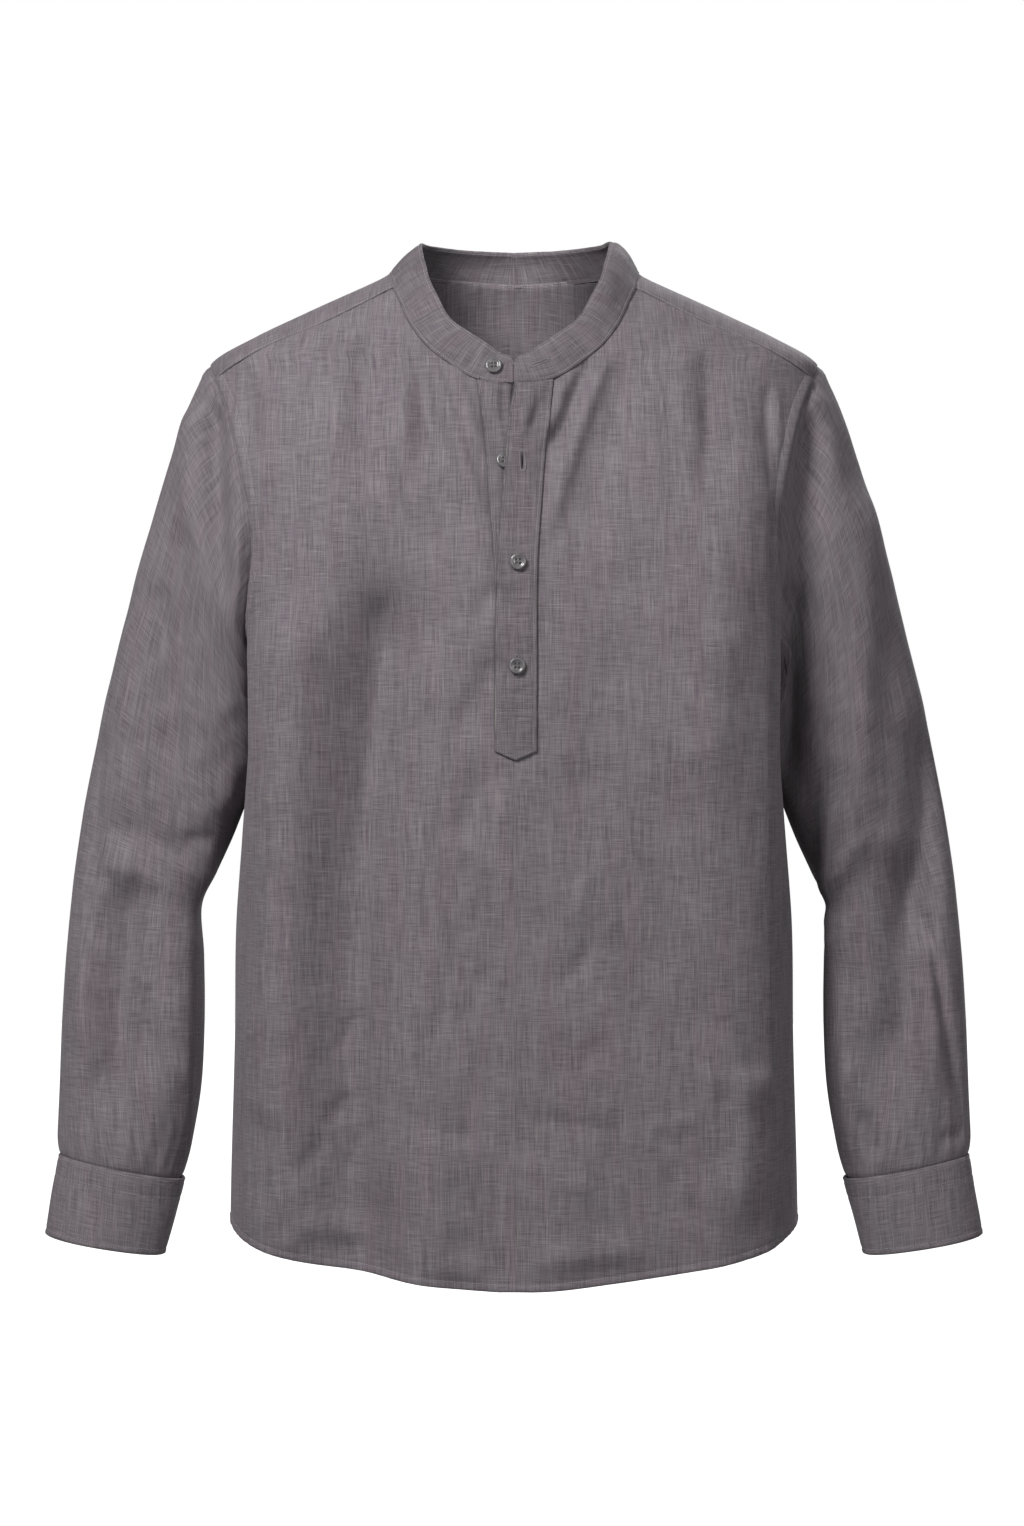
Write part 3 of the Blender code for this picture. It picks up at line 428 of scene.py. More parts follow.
def shares(length, step, low=0.0, high=0.0, fine=1.3):
    """Shares 0 to 1 of a length, step apart, and closer beside the ends over the zones low and high."""
    parts = [np.array([0.0])]
    if low:
        parts.append(np.arange(fine, low + fine / 2, fine))
    middle = length - low - high
    count = max(1, round(middle / step))
    parts.append(low + np.arange(1, count + 1) * middle / count)
    if high:
        parts.append(length - np.arange(high - fine, -fine / 2, -fine))
    return np.unique(np.clip(np.concatenate(parts), 0, length).round(4)) / length


# ---------------------------------------------------------------- grids of points
def unit(vectors):
    """The same directions with length 1."""
    return vectors / np.maximum(np.linalg.norm(vectors, axis=-1, keepdims=True), 1e-9)


def lengths(grid, axis):
    """Length along the grid from its first row (axis 0) or first column (axis 1) to each point."""
    steps = np.linalg.norm(np.diff(grid, axis=axis), axis=-1)
    start = np.zeros_like(grid[..., 0].take([0], axis=axis))
    return np.concatenate([start, np.cumsum(steps, axis=axis)], axis=axis)


def line_at(grid, distance, level):
    """Points of a grid where a distance that grows along its columns passes a level: one for each row."""
    k = np.clip((distance < level).sum(axis=1) - 1, 0, grid.shape[1] - 2)
    row = np.arange(grid.shape[0])
    d0, d1 = distance[row, k], distance[row, k + 1]
    t = np.clip((level - d0) / np.maximum(d1 - d0, 1e-9), 0, 1)[:, None]
    return grid[row, k] * (1 - t) + grid[row, k + 1] * t


def swap(grid):
    """A grid with its rows and columns exchanged."""
    return np.swapaxes(grid, 0, 1)


def even_points(path, pitch, extra=()):
    """Points evenly spaced along a path, with any further values read off at the same places."""
    run = np.concatenate([[0], np.cumsum(np.linalg.norm(np.diff(path, axis=0), axis=-1))])
    at = np.arange(pitch / 2, run[-1], pitch)
    return [np.stack([np.interp(at, run, values[:, k]) for k in range(3)], axis=-1) for values in (path, *extra)]


def edge_first(grid, edge):
    """A grid turned so that its named edge, 'left', 'right', 'low' or 'high', is its first column."""
    turned = grid if edge in ("left", "right") else swap(grid)
    return turned if edge in ("left", "low") else turned[:, ::-1]


def frame_along(path, normals):
    """Directions along a path, across it and up from its cloth, at right angles to each other."""
    ahead = unit(np.gradient(path, axis=0))
    up = unit(normals - (normals * ahead).sum(axis=-1, keepdims=True) * ahead)
    return ahead, np.cross(up, ahead), up


def round_cord(path, side, up, radius, sides=6):
    """Rings of a round cord along a path: the circle of its radius in the plane of side and up."""
    angle = np.arange(sides) * 2 * math.pi / sides
    return path[:, None] + radius * (np.cos(angle)[None, :, None] * side[:, None]
                                     + np.sin(angle)[None, :, None] * up[:, None])


# ---------------------------------------------------------------- torso
def torso(turn, height, out=0.0, table=()):
    """Points of the torso tube: squared ovals by height, drawn in beside the arm, moved outwards by out, and
    mostly forwards or backwards by the creases of the table."""
    turn, height = np.broadcast_arrays(np.radians(turn), np.asarray(height, float))
    sine, cosine = np.sin(turn), np.cos(turn)
    half, front, back, tuck = (along(SECTIONS, SECTION_COLUMNS, "height", name, height)
                               for name in SECTION_COLUMNS[1:])
    narrow = 1 - tuck * bell(cosine, TUCK_SPREAD)
    across = half * narrow * np.sign(sine) * np.abs(sine) ** CORNER
    power = 2 / CORNER + (FRONT_POWER - 2 / CORNER) * ease((-60 - height) / 80) * (cosine > 0)
    flat = np.clip(1 - np.abs(sine) ** (CORNER * power), 0, 1) ** (1 / power)
    depth = np.where(cosine > 0, -front, back) * flat
    push = 0.0
    if len(table):
        free = ease((np.abs(cosine) - 0.06) / 0.30)
        push = (creases(table, across, height) + crumple(across, height, 0.35)) * free
    across = across + (out + 0.2 * push) * sine
    return np.stack([across, depth - out * cosine - push * np.sign(cosine), height], axis=-1)


def turn_at(across, height):
    """Turn of the front place at a distance across, where the section has no side tuck."""
    half = along(SECTIONS, SECTION_COLUMNS, "height", "half_width", height)
    return np.degrees(np.sign(across) * np.arcsin((np.abs(across) / half) ** (1 / CORNER)))


def hem(turn):
    """Height of the hem: lowest at the centre front and back, highest at the side seams."""
    side = np.abs(np.sin(np.radians(turn)))
    return HEM_LOW + HEM_RISE * side ** HEM_POWER + HEM_CORNER * side ** 10


def armhole(angle):
    """Turn and height on the left armhole seam: angle 0 at the tip, 90 front, 180 underarm, 270 back."""
    angle = np.radians(angle)
    middle, reach = (ARMHOLE_TOP + ARMHOLE_LOW) / 2, (ARMHOLE_TOP - ARMHOLE_LOW) / 2
    deepest = np.where(np.sin(angle) > 0, ARMHOLE_FRONT, -ARMHOLE_BACK)
    scoop = deepest * np.abs(np.sin(angle)) ** ARMHOLE_POWER
    return np.stack([90 - scoop, middle + reach * np.cos(angle)], axis=-1)


def armhole_angle(height):
    """Angle on the front half of the armhole at which it passes a height."""
    middle, reach = (ARMHOLE_TOP + ARMHOLE_LOW) / 2, (ARMHOLE_TOP - ARMHOLE_LOW) / 2
    return math.degrees(math.acos((height - middle) / reach))


def neckline(turn):
    """Turn and height on the neck seam, for turns from 0 to 360."""
    around = np.where(turn > 180, 360 - turn, turn)
    return np.stack([turn, along(NECKLINE, NECKLINE_COLUMNS, "turn", "height", around)], axis=-1)


def yoke_seam(share):
    """Turn and height on the left front yoke seam, from the neck point to the armhole: a curve through five
    places."""
    knots, places = np.linspace(0, 1, len(YOKE_SEAM)), np.array(YOKE_SEAM)
    return np.stack([smooth(knots, places[:, 0], share), smooth(knots, places[:, 1], share)], axis=-1)


def patch(low, high, start, end, u, v):
    """Places between four edges (a Coons patch): rows follow start and end by v, columns low and high by u."""
    v, u = v[:, None, None], u[None, :, None]
    between_rows = (1 - v) * low[None] + v * high[None]
    between_columns = (1 - u) * start[:, None] + u * end[:, None]
    lower_corners = (1 - v) * ((1 - u) * low[0] + u * low[-1])
    upper_corners = v * ((1 - u) * high[0] + u * high[-1])
    return between_rows + between_columns - lower_corners - upper_corners


# Length round a torso section and down its front, so that the weave keeps its size on every panel.
ARC_ROWS = 60
ARC_HEIGHTS = np.linspace(-725, 12, ARC_ROWS)
arc_points = torso(np.arange(0.0, 181.0)[None, :], ARC_HEIGHTS[:, None])
ARC = lengths(arc_points, 1)
FALL = lengths(arc_points, 0)[:, 20]


def weave_place(turn, height):
    """Flat place of the cloth in millimetres: length round the section, and length up the panel."""
    turn, height = np.broadcast_arrays(turn, height)
    around = np.where(turn > 180, 360 - turn, np.abs(turn))
    side = np.where((turn > 180) | (turn < 0), -1.0, 1.0)
    lap = np.where(turn > 180, 2 * np.interp(height, ARC_HEIGHTS, ARC[:, 180]), 0.0)
    row = np.interp(height, ARC_HEIGHTS, np.arange(ARC_ROWS))
    low, step = np.clip(row.astype(int), 0, ARC_ROWS - 2), np.clip(around.astype(int), 0, 179)
    up, on = row - low, around - step
    arc = ((ARC[low, step] * (1 - on) + ARC[low, step + 1] * on) * (1 - up)
           + (ARC[low + 1, step] * (1 - on) + ARC[low + 1, step + 1] * on) * up)
    return np.stack([lap + side * arc, np.interp(height, ARC_HEIGHTS, FALL)], axis=-1)


def panel_weave(places, beyond):
    """Flat places of a panel with one row more, where its top edge is carried on under the next piece."""
    return weave_place(np.concatenate([places[..., 0], places[-1:, :, 0]]),
                       np.concatenate([places[..., 1], places[-1:, :, 1] + beyond]))


# ---------------------------------------------------------------- meshes
def material_slot(piece, finish):
    """Gives the piece its finish."""
    piece.data.materials.clear()
    piece.data.materials.append(finish)


def add_mesh(name, points, faces, finish, uv=None):
    """An object at the origin for points in millimetres. uv gives a flat place to each corner of each face."""
    mesh = bpy.data.meshes.new(name)
    corners = np.concatenate([f.reshape(-1) for f in faces]).astype(np.int32)
    sizes = np.concatenate([np.full(len(f), f.shape[1]) for f in faces])
    mesh.vertices.add(len(points))
    mesh.vertices.foreach_set("co", (points * MM).astype(np.float32).reshape(-1))
    mesh.loops.add(len(corners))
    mesh.loops.foreach_set("vertex_index", corners)
    mesh.polygons.add(len(sizes))
    mesh.polygons.foreach_set("loop_start", np.concatenate([[0], np.cumsum(sizes)[:-1]]).astype(np.int32))
    if uv is not None:
        layer = mesh.uv_layers.new(name="weave")
        layer.data.foreach_set("uv", (np.concatenate(uv) * MM).astype(np.float32).reshape(-1))
    mesh.update(calc_edges=True)
    mesh.validate()
    mesh.shade_smooth()
    piece = bpy.data.objects.new(name, mesh)
    bpy.context.scene.collection.objects.link(piece)
    material_slot(piece, finish)
    return piece


def quads_of(rows, columns, closed=False):
    """Corner numbers of a grid's faces, anticlockwise from outside when columns run right and rows run up."""
    index = np.arange(rows * columns).reshape(rows, columns)
    if closed:
        index = np.concatenate([index, index[:, :1]], axis=1)
    return np.stack([index[:-1, :-1], index[:-1, 1:], index[1:, 1:], index[1:, :-1]], axis=-1)


def grid_normals(grid, closed=False):
    """Outward directions of a grid: the cross product of its steps along its columns and up its rows."""
    if closed:
        wide = np.concatenate([grid[:, -1:], grid, grid[:, :1]], axis=1)
        across = (wide[:, 2:] - wide[:, :-2]) / 2
    else:
        across = np.gradient(grid, axis=1)
    return unit(np.cross(across, np.gradient(grid, axis=0)))


def vertex_normals(points, quads):
    """Outward directions of loose quads: the mean of the cross products of each face's diagonals."""
    a, b, c, d = (points[quads[:, k]] for k in range(4))
    face = np.cross(c - a, d - b)
    total = np.zeros_like(points)
    for k in range(4):
        np.add.at(total, quads[:, k], face)
    return unit(total)


def shell(name, points, quads, wall, finish, uv, uv_quads, roll=0.42):
    """A closed wall of cloth. The outer face is the quads, the inner face the same points moved in by the wall,
    and every free edge is rounded over a line half way in, pushed out by roll walls."""
    normals = vertex_normals(points, quads)
    inner = points - normals * wall
    start, end = quads.reshape(-1), np.roll(quads, -1, axis=1).reshape(-1)
    count = len(points)
    free = ~np.isin(start * count + end, end * count + start)
    a, b = start[free], end[free]
    outward = np.cross(points[b] - points[a], normals[a] + normals[b])
    push = np.zeros_like(points)
    np.add.at(push, a, outward)
    np.add.at(push, b, outward)
    rim_index = np.full(count, -1)
    rim = np.unique(np.concatenate([a, b]))
    rim_index[rim] = np.arange(len(rim))
    middle = (points[rim] + inner[rim]) / 2 + unit(push[rim]) * wall * roll
    every = np.concatenate([points, inner, middle])
    ra, rb = rim_index[a] + 2 * count, rim_index[b] + 2 * count
    outer_rim = np.stack([b, a, ra, rb], axis=-1)
    inner_rim = np.stack([rb, ra, a + count, b + count], axis=-1)
    flat = uv.reshape(-1, 2)
    face_uv = flat[uv_quads]
    first = uv_quads.reshape(-1)[free]
    second = np.roll(uv_quads, -1, axis=1).reshape(-1)[free]
    rim_uv = np.stack([flat[second], flat[first], flat[first], flat[second]], axis=1)
    faces = [quads, quads[:, ::-1] + count, outer_rim, inner_rim]
    corner_uv = [part.reshape(-1, 2) for part in (face_uv, face_uv[:, ::-1], rim_uv, rim_uv)]
    live = np.zeros(len(every), bool)
    for f in faces:
        live[f] = True
    renumber = np.cumsum(live) - 1
    return add_mesh(name, every[live], [renumber[f] for f in faces], finish, corner_uv)


def cloth(name, grid, wall, finish, weave, closed=False, slits=(), keep=True):
    """A wall of cloth on the kept faces of a grid of outer points, which may close round and may be slit along
    parts of columns. A slit is (column, first row, last row, opening): its two sides are moved apart by the
    opening of each row."""
    rows, columns = grid.shape[:2]
    quads = quads_of(rows, columns, closed)
    uv_quads = quads_of(rows, weave.shape[1])
    points = grid.reshape(-1, 3).copy()
    for at, low, high, sideways in slits:
        inside = np.arange(low + 1, high)
        doubles = len(points) + np.arange(len(inside))
        original = inside * columns + at
        points = np.concatenate([points, points[original] + sideways[1:-1]])
        points[original] -= sideways[1:-1]
        lookup = np.full(rows, -1)
        lookup[inside] = doubles
        right = quads[:, at]
        lower, upper = np.arange(rows - 1), np.arange(1, rows)
        right[:, 0] = np.where(lookup[lower] >= 0, lookup[lower], right[:, 0])
        right[:, 3] = np.where(lookup[upper] >= 0, lookup[upper], right[:, 3])
    keep = np.broadcast_to(keep, quads.shape[:2])
    return shell(name, points, quads[keep], wall, finish, weave, uv_quads[keep])


STITCH_STATIONS = np.array([-0.5, -0.26, 0.0, 0.26, 0.5])
STITCH_GIRTH = np.array([0.0, 0.85, 1.0, 0.85, 0.0])
STITCH_ARCH = np.array([-0.55, 0.12, 0.30, 0.12, -0.55])


def stitch_template():
    """One stitch along +X with its top towards +Z: three four-sided rings between two points, ends sunk in."""
    points = [(-0.5, 0.0, STITCH_ARCH[0])]
    for k in (1, 2, 3):
        for side, up in ((1, 0), (0, 1), (-1, 0), (0, -1)):
            half = 0.5 * STITCH_GIRTH[k]
            points.append((STITCH_STATIONS[k], side * half, up * half + STITCH_ARCH[k]))
    points.append((0.5, 0.0, STITCH_ARCH[4]))
    tris = [(0, 1 + (k + 1) % 4, 1 + k) for k in range(4)] + [(13, 9 + k, 9 + (k + 1) % 4) for k in range(4)]
    quads = [(1 + r * 4 + k, 1 + r * 4 + (k + 1) % 4, 5 + r * 4 + (k + 1) % 4, 5 + r * 4 + k)
             for r in range(2) for k in range(4)]
    return np.array(points), np.array(tris), np.array(quads)


stitch_points, stitch_tris, stitch_quads = stitch_template()
seams = {}          # rows of stitches laid so far, by group


def stitch(group, path, normals):
    """Lays a row of stitches along a path: the template turned to the path's direction and the cloth's normal."""
    here, normals = even_points(path, STITCH_PITCH, (normals,))
    ahead, side, up = frame_along(here, normals)
    local = stitch_points * [STITCH_LENGTH, THREAD, THREAD]
    points = (here[:, None] + local[None, :, :1] * ahead[:, None] + local[None, :, 1:2] * side[:, None]
              + local[None, :, 2:] * up[:, None])
    seams.setdefault(group, []).append(points.reshape(-1, 3))


def finish_stitching(thread):
    """Makes one piece of every group of stitches laid."""
    made = []
    for group, parts in seams.items():
        points = np.concatenate(parts)
        first = (np.arange(len(points) // len(stitch_points)) * len(stitch_points))[:, None, None]
        tris = (stitch_tris[None] + first).reshape(-1, 3)
        quads = (stitch_quads[None] + first).reshape(-1, 4)
        made.append(add_mesh(group, points, [tris, quads], thread))
    return made


# ---------------------------------------------------------------- panels of the body
def level_line(turns, height):
    """Places along a line at one height."""
    return np.stack(np.broadcast_arrays(turns, height), axis=-1)


def slot_edge(height, name):
    """Place of a named slot or placket edge at a height."""
    return along(PLACKET, PLACKET_COLUMNS, "height", name, height)


def band_point(turn, share, out=0.0):
    """Points of the band: straight from its seam (share 0) to its top edge (share 1), rounded out by half a sine
    wave and moved outwards by out."""
    turn, share = np.broadcast_arrays(np.asarray(turn, float), np.asarray(share, float))
    around = np.where(turn > 180, 360 - turn, turn)
    side = np.where(turn > 180, -1.0, 1.0)
    seam = torso(turn, neckline(turn)[..., 1] + 0.3)
    across, depth, height = (along(BAND_TOP, BAND_COLUMNS, "turn", name, around) for name in BAND_COLUMNS[1:])
    top = np.stack([side * across, depth, height], axis=-1)
    bulge = BAND_BULGE * np.sin(np.pi * np.clip(share, 0, 1))
    point = seam + (top - seam) * (0.02 + 0.98 * share)[..., None]
    lean = np.radians(turn)
    away = np.stack([np.sin(lean) * 0.8, -np.cos(lean) * 0.8, np.full(turn.shape, 0.6)], axis=-1)
    return point + away * (out + bulge)[..., None]


def tucked(turn, share=0.10):
    """Points inside the wall of the band, where the cut edge of the body ends."""
    return band_point(turn, share, -DOUBLED / 2 + CLOTH / 2)


def seam_relief(distance, run, stitched, lip, seed, size=0.35):
    """Relief of a lapped and topstitched edge: a pressed line under the stitches, the doubled lip beyond it a
    little full, and uneven pulls that fade over 9 mm."""
    pressed = -0.42 * bell(distance - stitched, 1.1)
    full = lip * bell(distance - stitched * 0.45, stitched * 0.42)
    return pressed + full + size * pucker(run, seed) * bell(distance - stitched * 0.7, stitched * 0.6 + 3.0)


def above_underarm(height):
    """0 on the side seams and 1 on the armholes, with a soft step at the underarm."""
    return ease((height - ARMHOLE_LOW + 6) / 14)


def from_sides(across):
    """Distance from the nearer of a panel's two side edges, for lengths along its rows."""
    return np.minimum(across, across[:, -1:] - across)


# Columns of the front, and its rows below the slot, beside the slot up to the underarm, and above the underarm.
FRONT_U = shares(236, 3.0, high=13, fine=1.3)
LOW_V = shares(380, 3.1, low=12, fine=1.2)
SLOT_V = np.linspace(0, 1, 20)
UPPER_V = shares(236, 3.0, high=5, fine=1.25)
NECK_SHARE = 0.46       # share of the front's top edge that is neckline; the rest is yoke seam
CENTRE_COLUMNS = 8
BACK_UNDER = 1.2        # turn by which the back's side edges run on under the front


def front_half(side):
    """Places of one half of the front, from the slot edge to the side seam and armhole; side is 1 or -1."""
    edge_name = "slot_left" if side > 0 else "slot_right"

    def level(height):
        """Places of one row, from the slot edge to the side seam."""
        inner = side * turn_at(slot_edge(height, edge_name), height)
        return level_line(inner + (90 - inner) * FRONT_U, height)

    turns = level(SLOT_LOW)[:, 0]
    foot = hem(turns)
    lower = level_line(turns, foot + LOW_V[:, None] * (SLOT_LOW - foot))
    slot = np.stack([level(height) for height in SLOT_LOW + SLOT_V[1:-1] * (ARMHOLE_LOW - SLOT_LOW)])
    heights = ARMHOLE_LOW + UPPER_V * (SLOT_TOP - ARMHOLE_LOW)
    inner_turn = side * turn_at(slot_edge(heights, edge_name), heights)
    start = np.stack([inner_turn, heights], axis=-1)
    start[-1, 1] = neckline(inner_turn[-1:])[0, 1]
    end = armhole(180 + UPPER_V * (armhole_angle(YOKE_FRONT) - 180))
    neck = neckline(inner_turn[-1] + np.clip(FRONT_U / NECK_SHARE, 0, 1) * (NECK_POINT - inner_turn[-1]))
    seam = yoke_seam(np.clip((FRONT_U - NECK_SHARE) / (1 - NECK_SHARE), 0, 1))
    top = np.where((FRONT_U < NECK_SHARE)[:, None], neck, seam)
    low = level(ARMHOLE_LOW)
    top[0], top[-1], low[0], low[-1] = start[-1], end[-1], start[0], end[0]
    return np.concatenate([lower, slot, patch(low, top, start, end, FRONT_U, UPPER_V)])


def front_grid():
    """The front: both halves with the strip between them, its relief, and its top edge carried up under the yoke
    and into the band."""
    left, right = front_half(1), front_half(-1) * [-1, 1]
    share = np.linspace(0, 1, CENTRE_COLUMNS + 2)[1:-1, None]
    centre = right[:, None, 0] * (1 - share) + left[:, None, 0] * share
    places = np.concatenate([right[:, ::-1], centre, left], axis=1)
    grid = torso(places[..., 0], places[..., 1], table=FRONT_CREASES)
    across, up = lengths(grid, 1), lengths(grid, 0)
    clamped = bell(up[-1:] - up, 4.5)[..., None]
    grid = grid * (1 - clamped) + torso(places[..., 0], places[..., 1]) * clamped
    middle = grid.shape[1] // 2
    beside = from_sides(across)
    edge_run = np.where(np.arange(grid.shape[1]) < middle, up[:, :1], up[:, -1:])
    to_top = up[-1:] - up
    # the armhole edges stand up, the side seams sink, the hem is doubled, the neck and yoke edges sink, and so
    # does the strip beside the placket's edge
    arm = above_underarm(places[..., 1])
    relief = arm * (seam_relief(beside, edge_run, ARMHOLE_STITCH, 0.5, 1.0) + 1.4 * bell(beside, 5.5))
    relief += (1 - arm) * (-0.5 * bell(beside, 1.6) + 0.25 * pucker(edge_run, 2.0) * bell(beside, 8.0))
    relief += seam_relief(up, across, HEM_STITCH, 0.45, 3.0, 0.42)
    sunk = np.where(np.abs(places[-1, :, 0]) < NECK_POINT - 1, 0.9, 0.3)
    relief += 0.30 * pucker(across, 5.0) * bell(to_top - 5, 5.0) - sunk * bell(to_top, 3.0)
    outside = slot_edge(places[..., 1], "slot_right") - grid[..., 0]
    relief -= 0.75 * bell(outside - 0.8, 2.4) * ease((places[..., 1] - SLOT_LOW - 4) / 10)
    grid = grid + grid_normals(grid) * relief[..., None]
    turn = places[-1, :, 0]
    on_neck = np.abs(turn) < NECK_POINT
    beyond = np.where(on_neck[:, None], tucked(turn % 360), torso(turn, places[-1, :, 1] + 3.5, -1.7))
    under = torso(turn, places[-1, :, 1], -1.2)
    grid[-1] = np.where(on_neck[:, None], grid[-1], under)
    return np.concatenate([grid, beyond[None]]), places


def back_grid():
    """The back below the yoke: its side edges run on under the front, its top edge under the yoke."""
    columns = shares(395, 3.2, low=12, high=12, fine=1.5)
    rows = shares(442, 3.3, low=12, fine=1.3)
    upper = shares(186, 3.2, high=6, fine=1.5)
    turns = 90 + columns * 180
    foot = hem(turns)
    lower = level_line(turns, foot + rows[:-1, None] * (ARMHOLE_LOW - foot))
    corner = 360 - armhole_angle(YOKE_BACK)
    start = armhole(180 + upper * (corner - 180))
    start[0, 0] = 90
    end = start * [-1, 1] + [360, 0]
    low = level_line(turns, ARMHOLE_LOW)
    top = level_line(start[-1, 0] + columns * (end[-1, 0] - start[-1, 0]), start[-1, 1])
    places = np.concatenate([lower, patch(low, top, start, end, columns, upper)])
    # below the armhole the side edges go on a little under the front
    below = ease((ARMHOLE_LOW + 2 - places[..., 1]) / 14)
    near_left, near_right = bell(places[..., 0] - 90, 2.0), bell(places[..., 0] - 270, 2.0)
    places[..., 0] += BACK_UNDER * below * (near_right - near_left)
    hidden = below * (ease((90.3 - places[..., 0]) / 0.8) + ease((places[..., 0] - 269.7) / 0.8))
    grid = torso(places[..., 0], places[..., 1], -1.5 * hidden, BACK_CREASES)
    across, up = lengths(grid, 1), lengths(grid, 0)
    beside = from_sides(across)
    arm = above_underarm(places[..., 1])
    edge_run = up[:, :1]
    relief = arm * (seam_relief(beside, edge_run, ARMHOLE_STITCH, 0.5, 6.0) + 1.1 * bell(beside, 5.5))
    relief += seam_relief(up, across, HEM_STITCH, 0.45, 7.0, 0.42)
    relief += 0.35 * pucker(across, 8.0) * bell(up[-1:] - up, 9.0)
    grid = grid + grid_normals(grid) * relief[..., None]
    beyond = torso(places[-1, :, 0], places[-1, :, 1] + 5.0, -1.6)
    grid[-1] = torso(places[-1, :, 0], places[-1, :, 1], -1.3)
    return np.concatenate([grid, beyond[None]]), places


YOKE_SIDE = 0.27        # share of the yoke's length that each of its shoulder ends takes


def yoke_grid():
    """The yoke from its lower edges up to the neckline, lapped over the front and back, its neck edge in the
    band."""
    tip, back = shares(118, 2.6, low=5, fine=1.3), shares(330, 3.0)
    front_corner, back_corner = armhole_angle(YOKE_FRONT), armhole_angle(YOKE_BACK)
    rim = armhole(front_corner + tip * (-back_corner - front_corner))
    far_rim = rim[::-1] * [-1, 1] + [360, 0]
    level = level_line(rim[-1, 0] + back * (far_rim[0, 0] - rim[-1, 0]), rim[-1, 1])
    outer = np.concatenate([rim[:-1], level, far_rim[1:]])
    side = NECK_POINT + tip * (NECK_BACK - NECK_POINT)
    round_back = NECK_BACK + back * (360 - 2 * NECK_BACK)
    neck = neckline(np.concatenate([side[:-1], round_back, 360 - side[-2::-1]]))
    rows = shares(112, 2.6, low=3, high=6, fine=1.3)
    start = yoke_seam(rows)
    start[0], start[-1] = neck[0], outer[0]
    end = start * [-1, 1] + [360, 0]
    past = 1 - YOKE_SIDE
    whole = np.concatenate([tip[:-1] * YOKE_SIDE, YOKE_SIDE + back * (past - YOKE_SIDE),
                            past + (1 - tip[-2::-1]) * YOKE_SIDE])
    places = patch(neck, outer, start, end, whole, rows)[::-1]
    grid = torso(places[..., 0], places[..., 1], table=YOKE_CREASES)
    across, up = lengths(grid, 1), lengths(grid, 0)
    front_edge = from_sides(across)
    behind = ease((66 - np.abs(places[0, :, 0] - 180)) / 4)
    lap = 0.3 * bell(front_edge, 9.0) + 0.8 * behind * bell(up, 9.0)
    relief = lap + seam_relief(front_edge, up, YOKE_STITCH, 0.2, 9.0, 0.16)
    relief += behind * seam_relief(up, across, YOKE_STITCH, 0.2, 10.0, 0.30)
    relief += (1 - behind) * 0.35 * pucker(across, 4.0) * bell(up, 8.0)
    grid = grid + grid_normals(grid) * relief[..., None]
    return np.concatenate([grid, tucked(places[-1, :, 0])[None]]), places, behind


# ---------------------------------------------------------------- plackets
def on_front(across, height, out=0.0):
    """Points lying on the front, out from its cloth and following its creases."""
    return torso(turn_at(across, height), height, out, FRONT_CREASES)


def gape(height, share):
    """How far the upper placket stands off the front: most at its open edge, share 0, by the second button."""
    return GAPE * bell(height - GAPE_HEIGHT, GAPE_REACH) * (1 - share)


STRIP_TOP = SLOT_TOP - 3        # height of a placket's last row before it is moved to the neckline


def to_neckline(across, heights):
    """How far a placket's upper rows move so that the last one follows the slanting neckline seam."""
    neck = neckline(np.abs(turn_at(across[-1], SLOT_TOP)))[..., 1]
    return ease((heights - SLOT_TOP + 27) / 24) * (neck - STRIP_TOP)


def slit_line(height):
    """Place across of the line on which the upper placket's buttonholes lie."""
    rows = np.array(sorted((height, across) for across, height, _, _ in SLITS))
    return smooth(rows[:, 0], rows[:, 1], height)


UPPER_HALF = 14         # columns on each side of the buttonhole line
UPPER_ROWS = 200
UNDER_COLUMNS, UNDER_ROWS = 30, 150


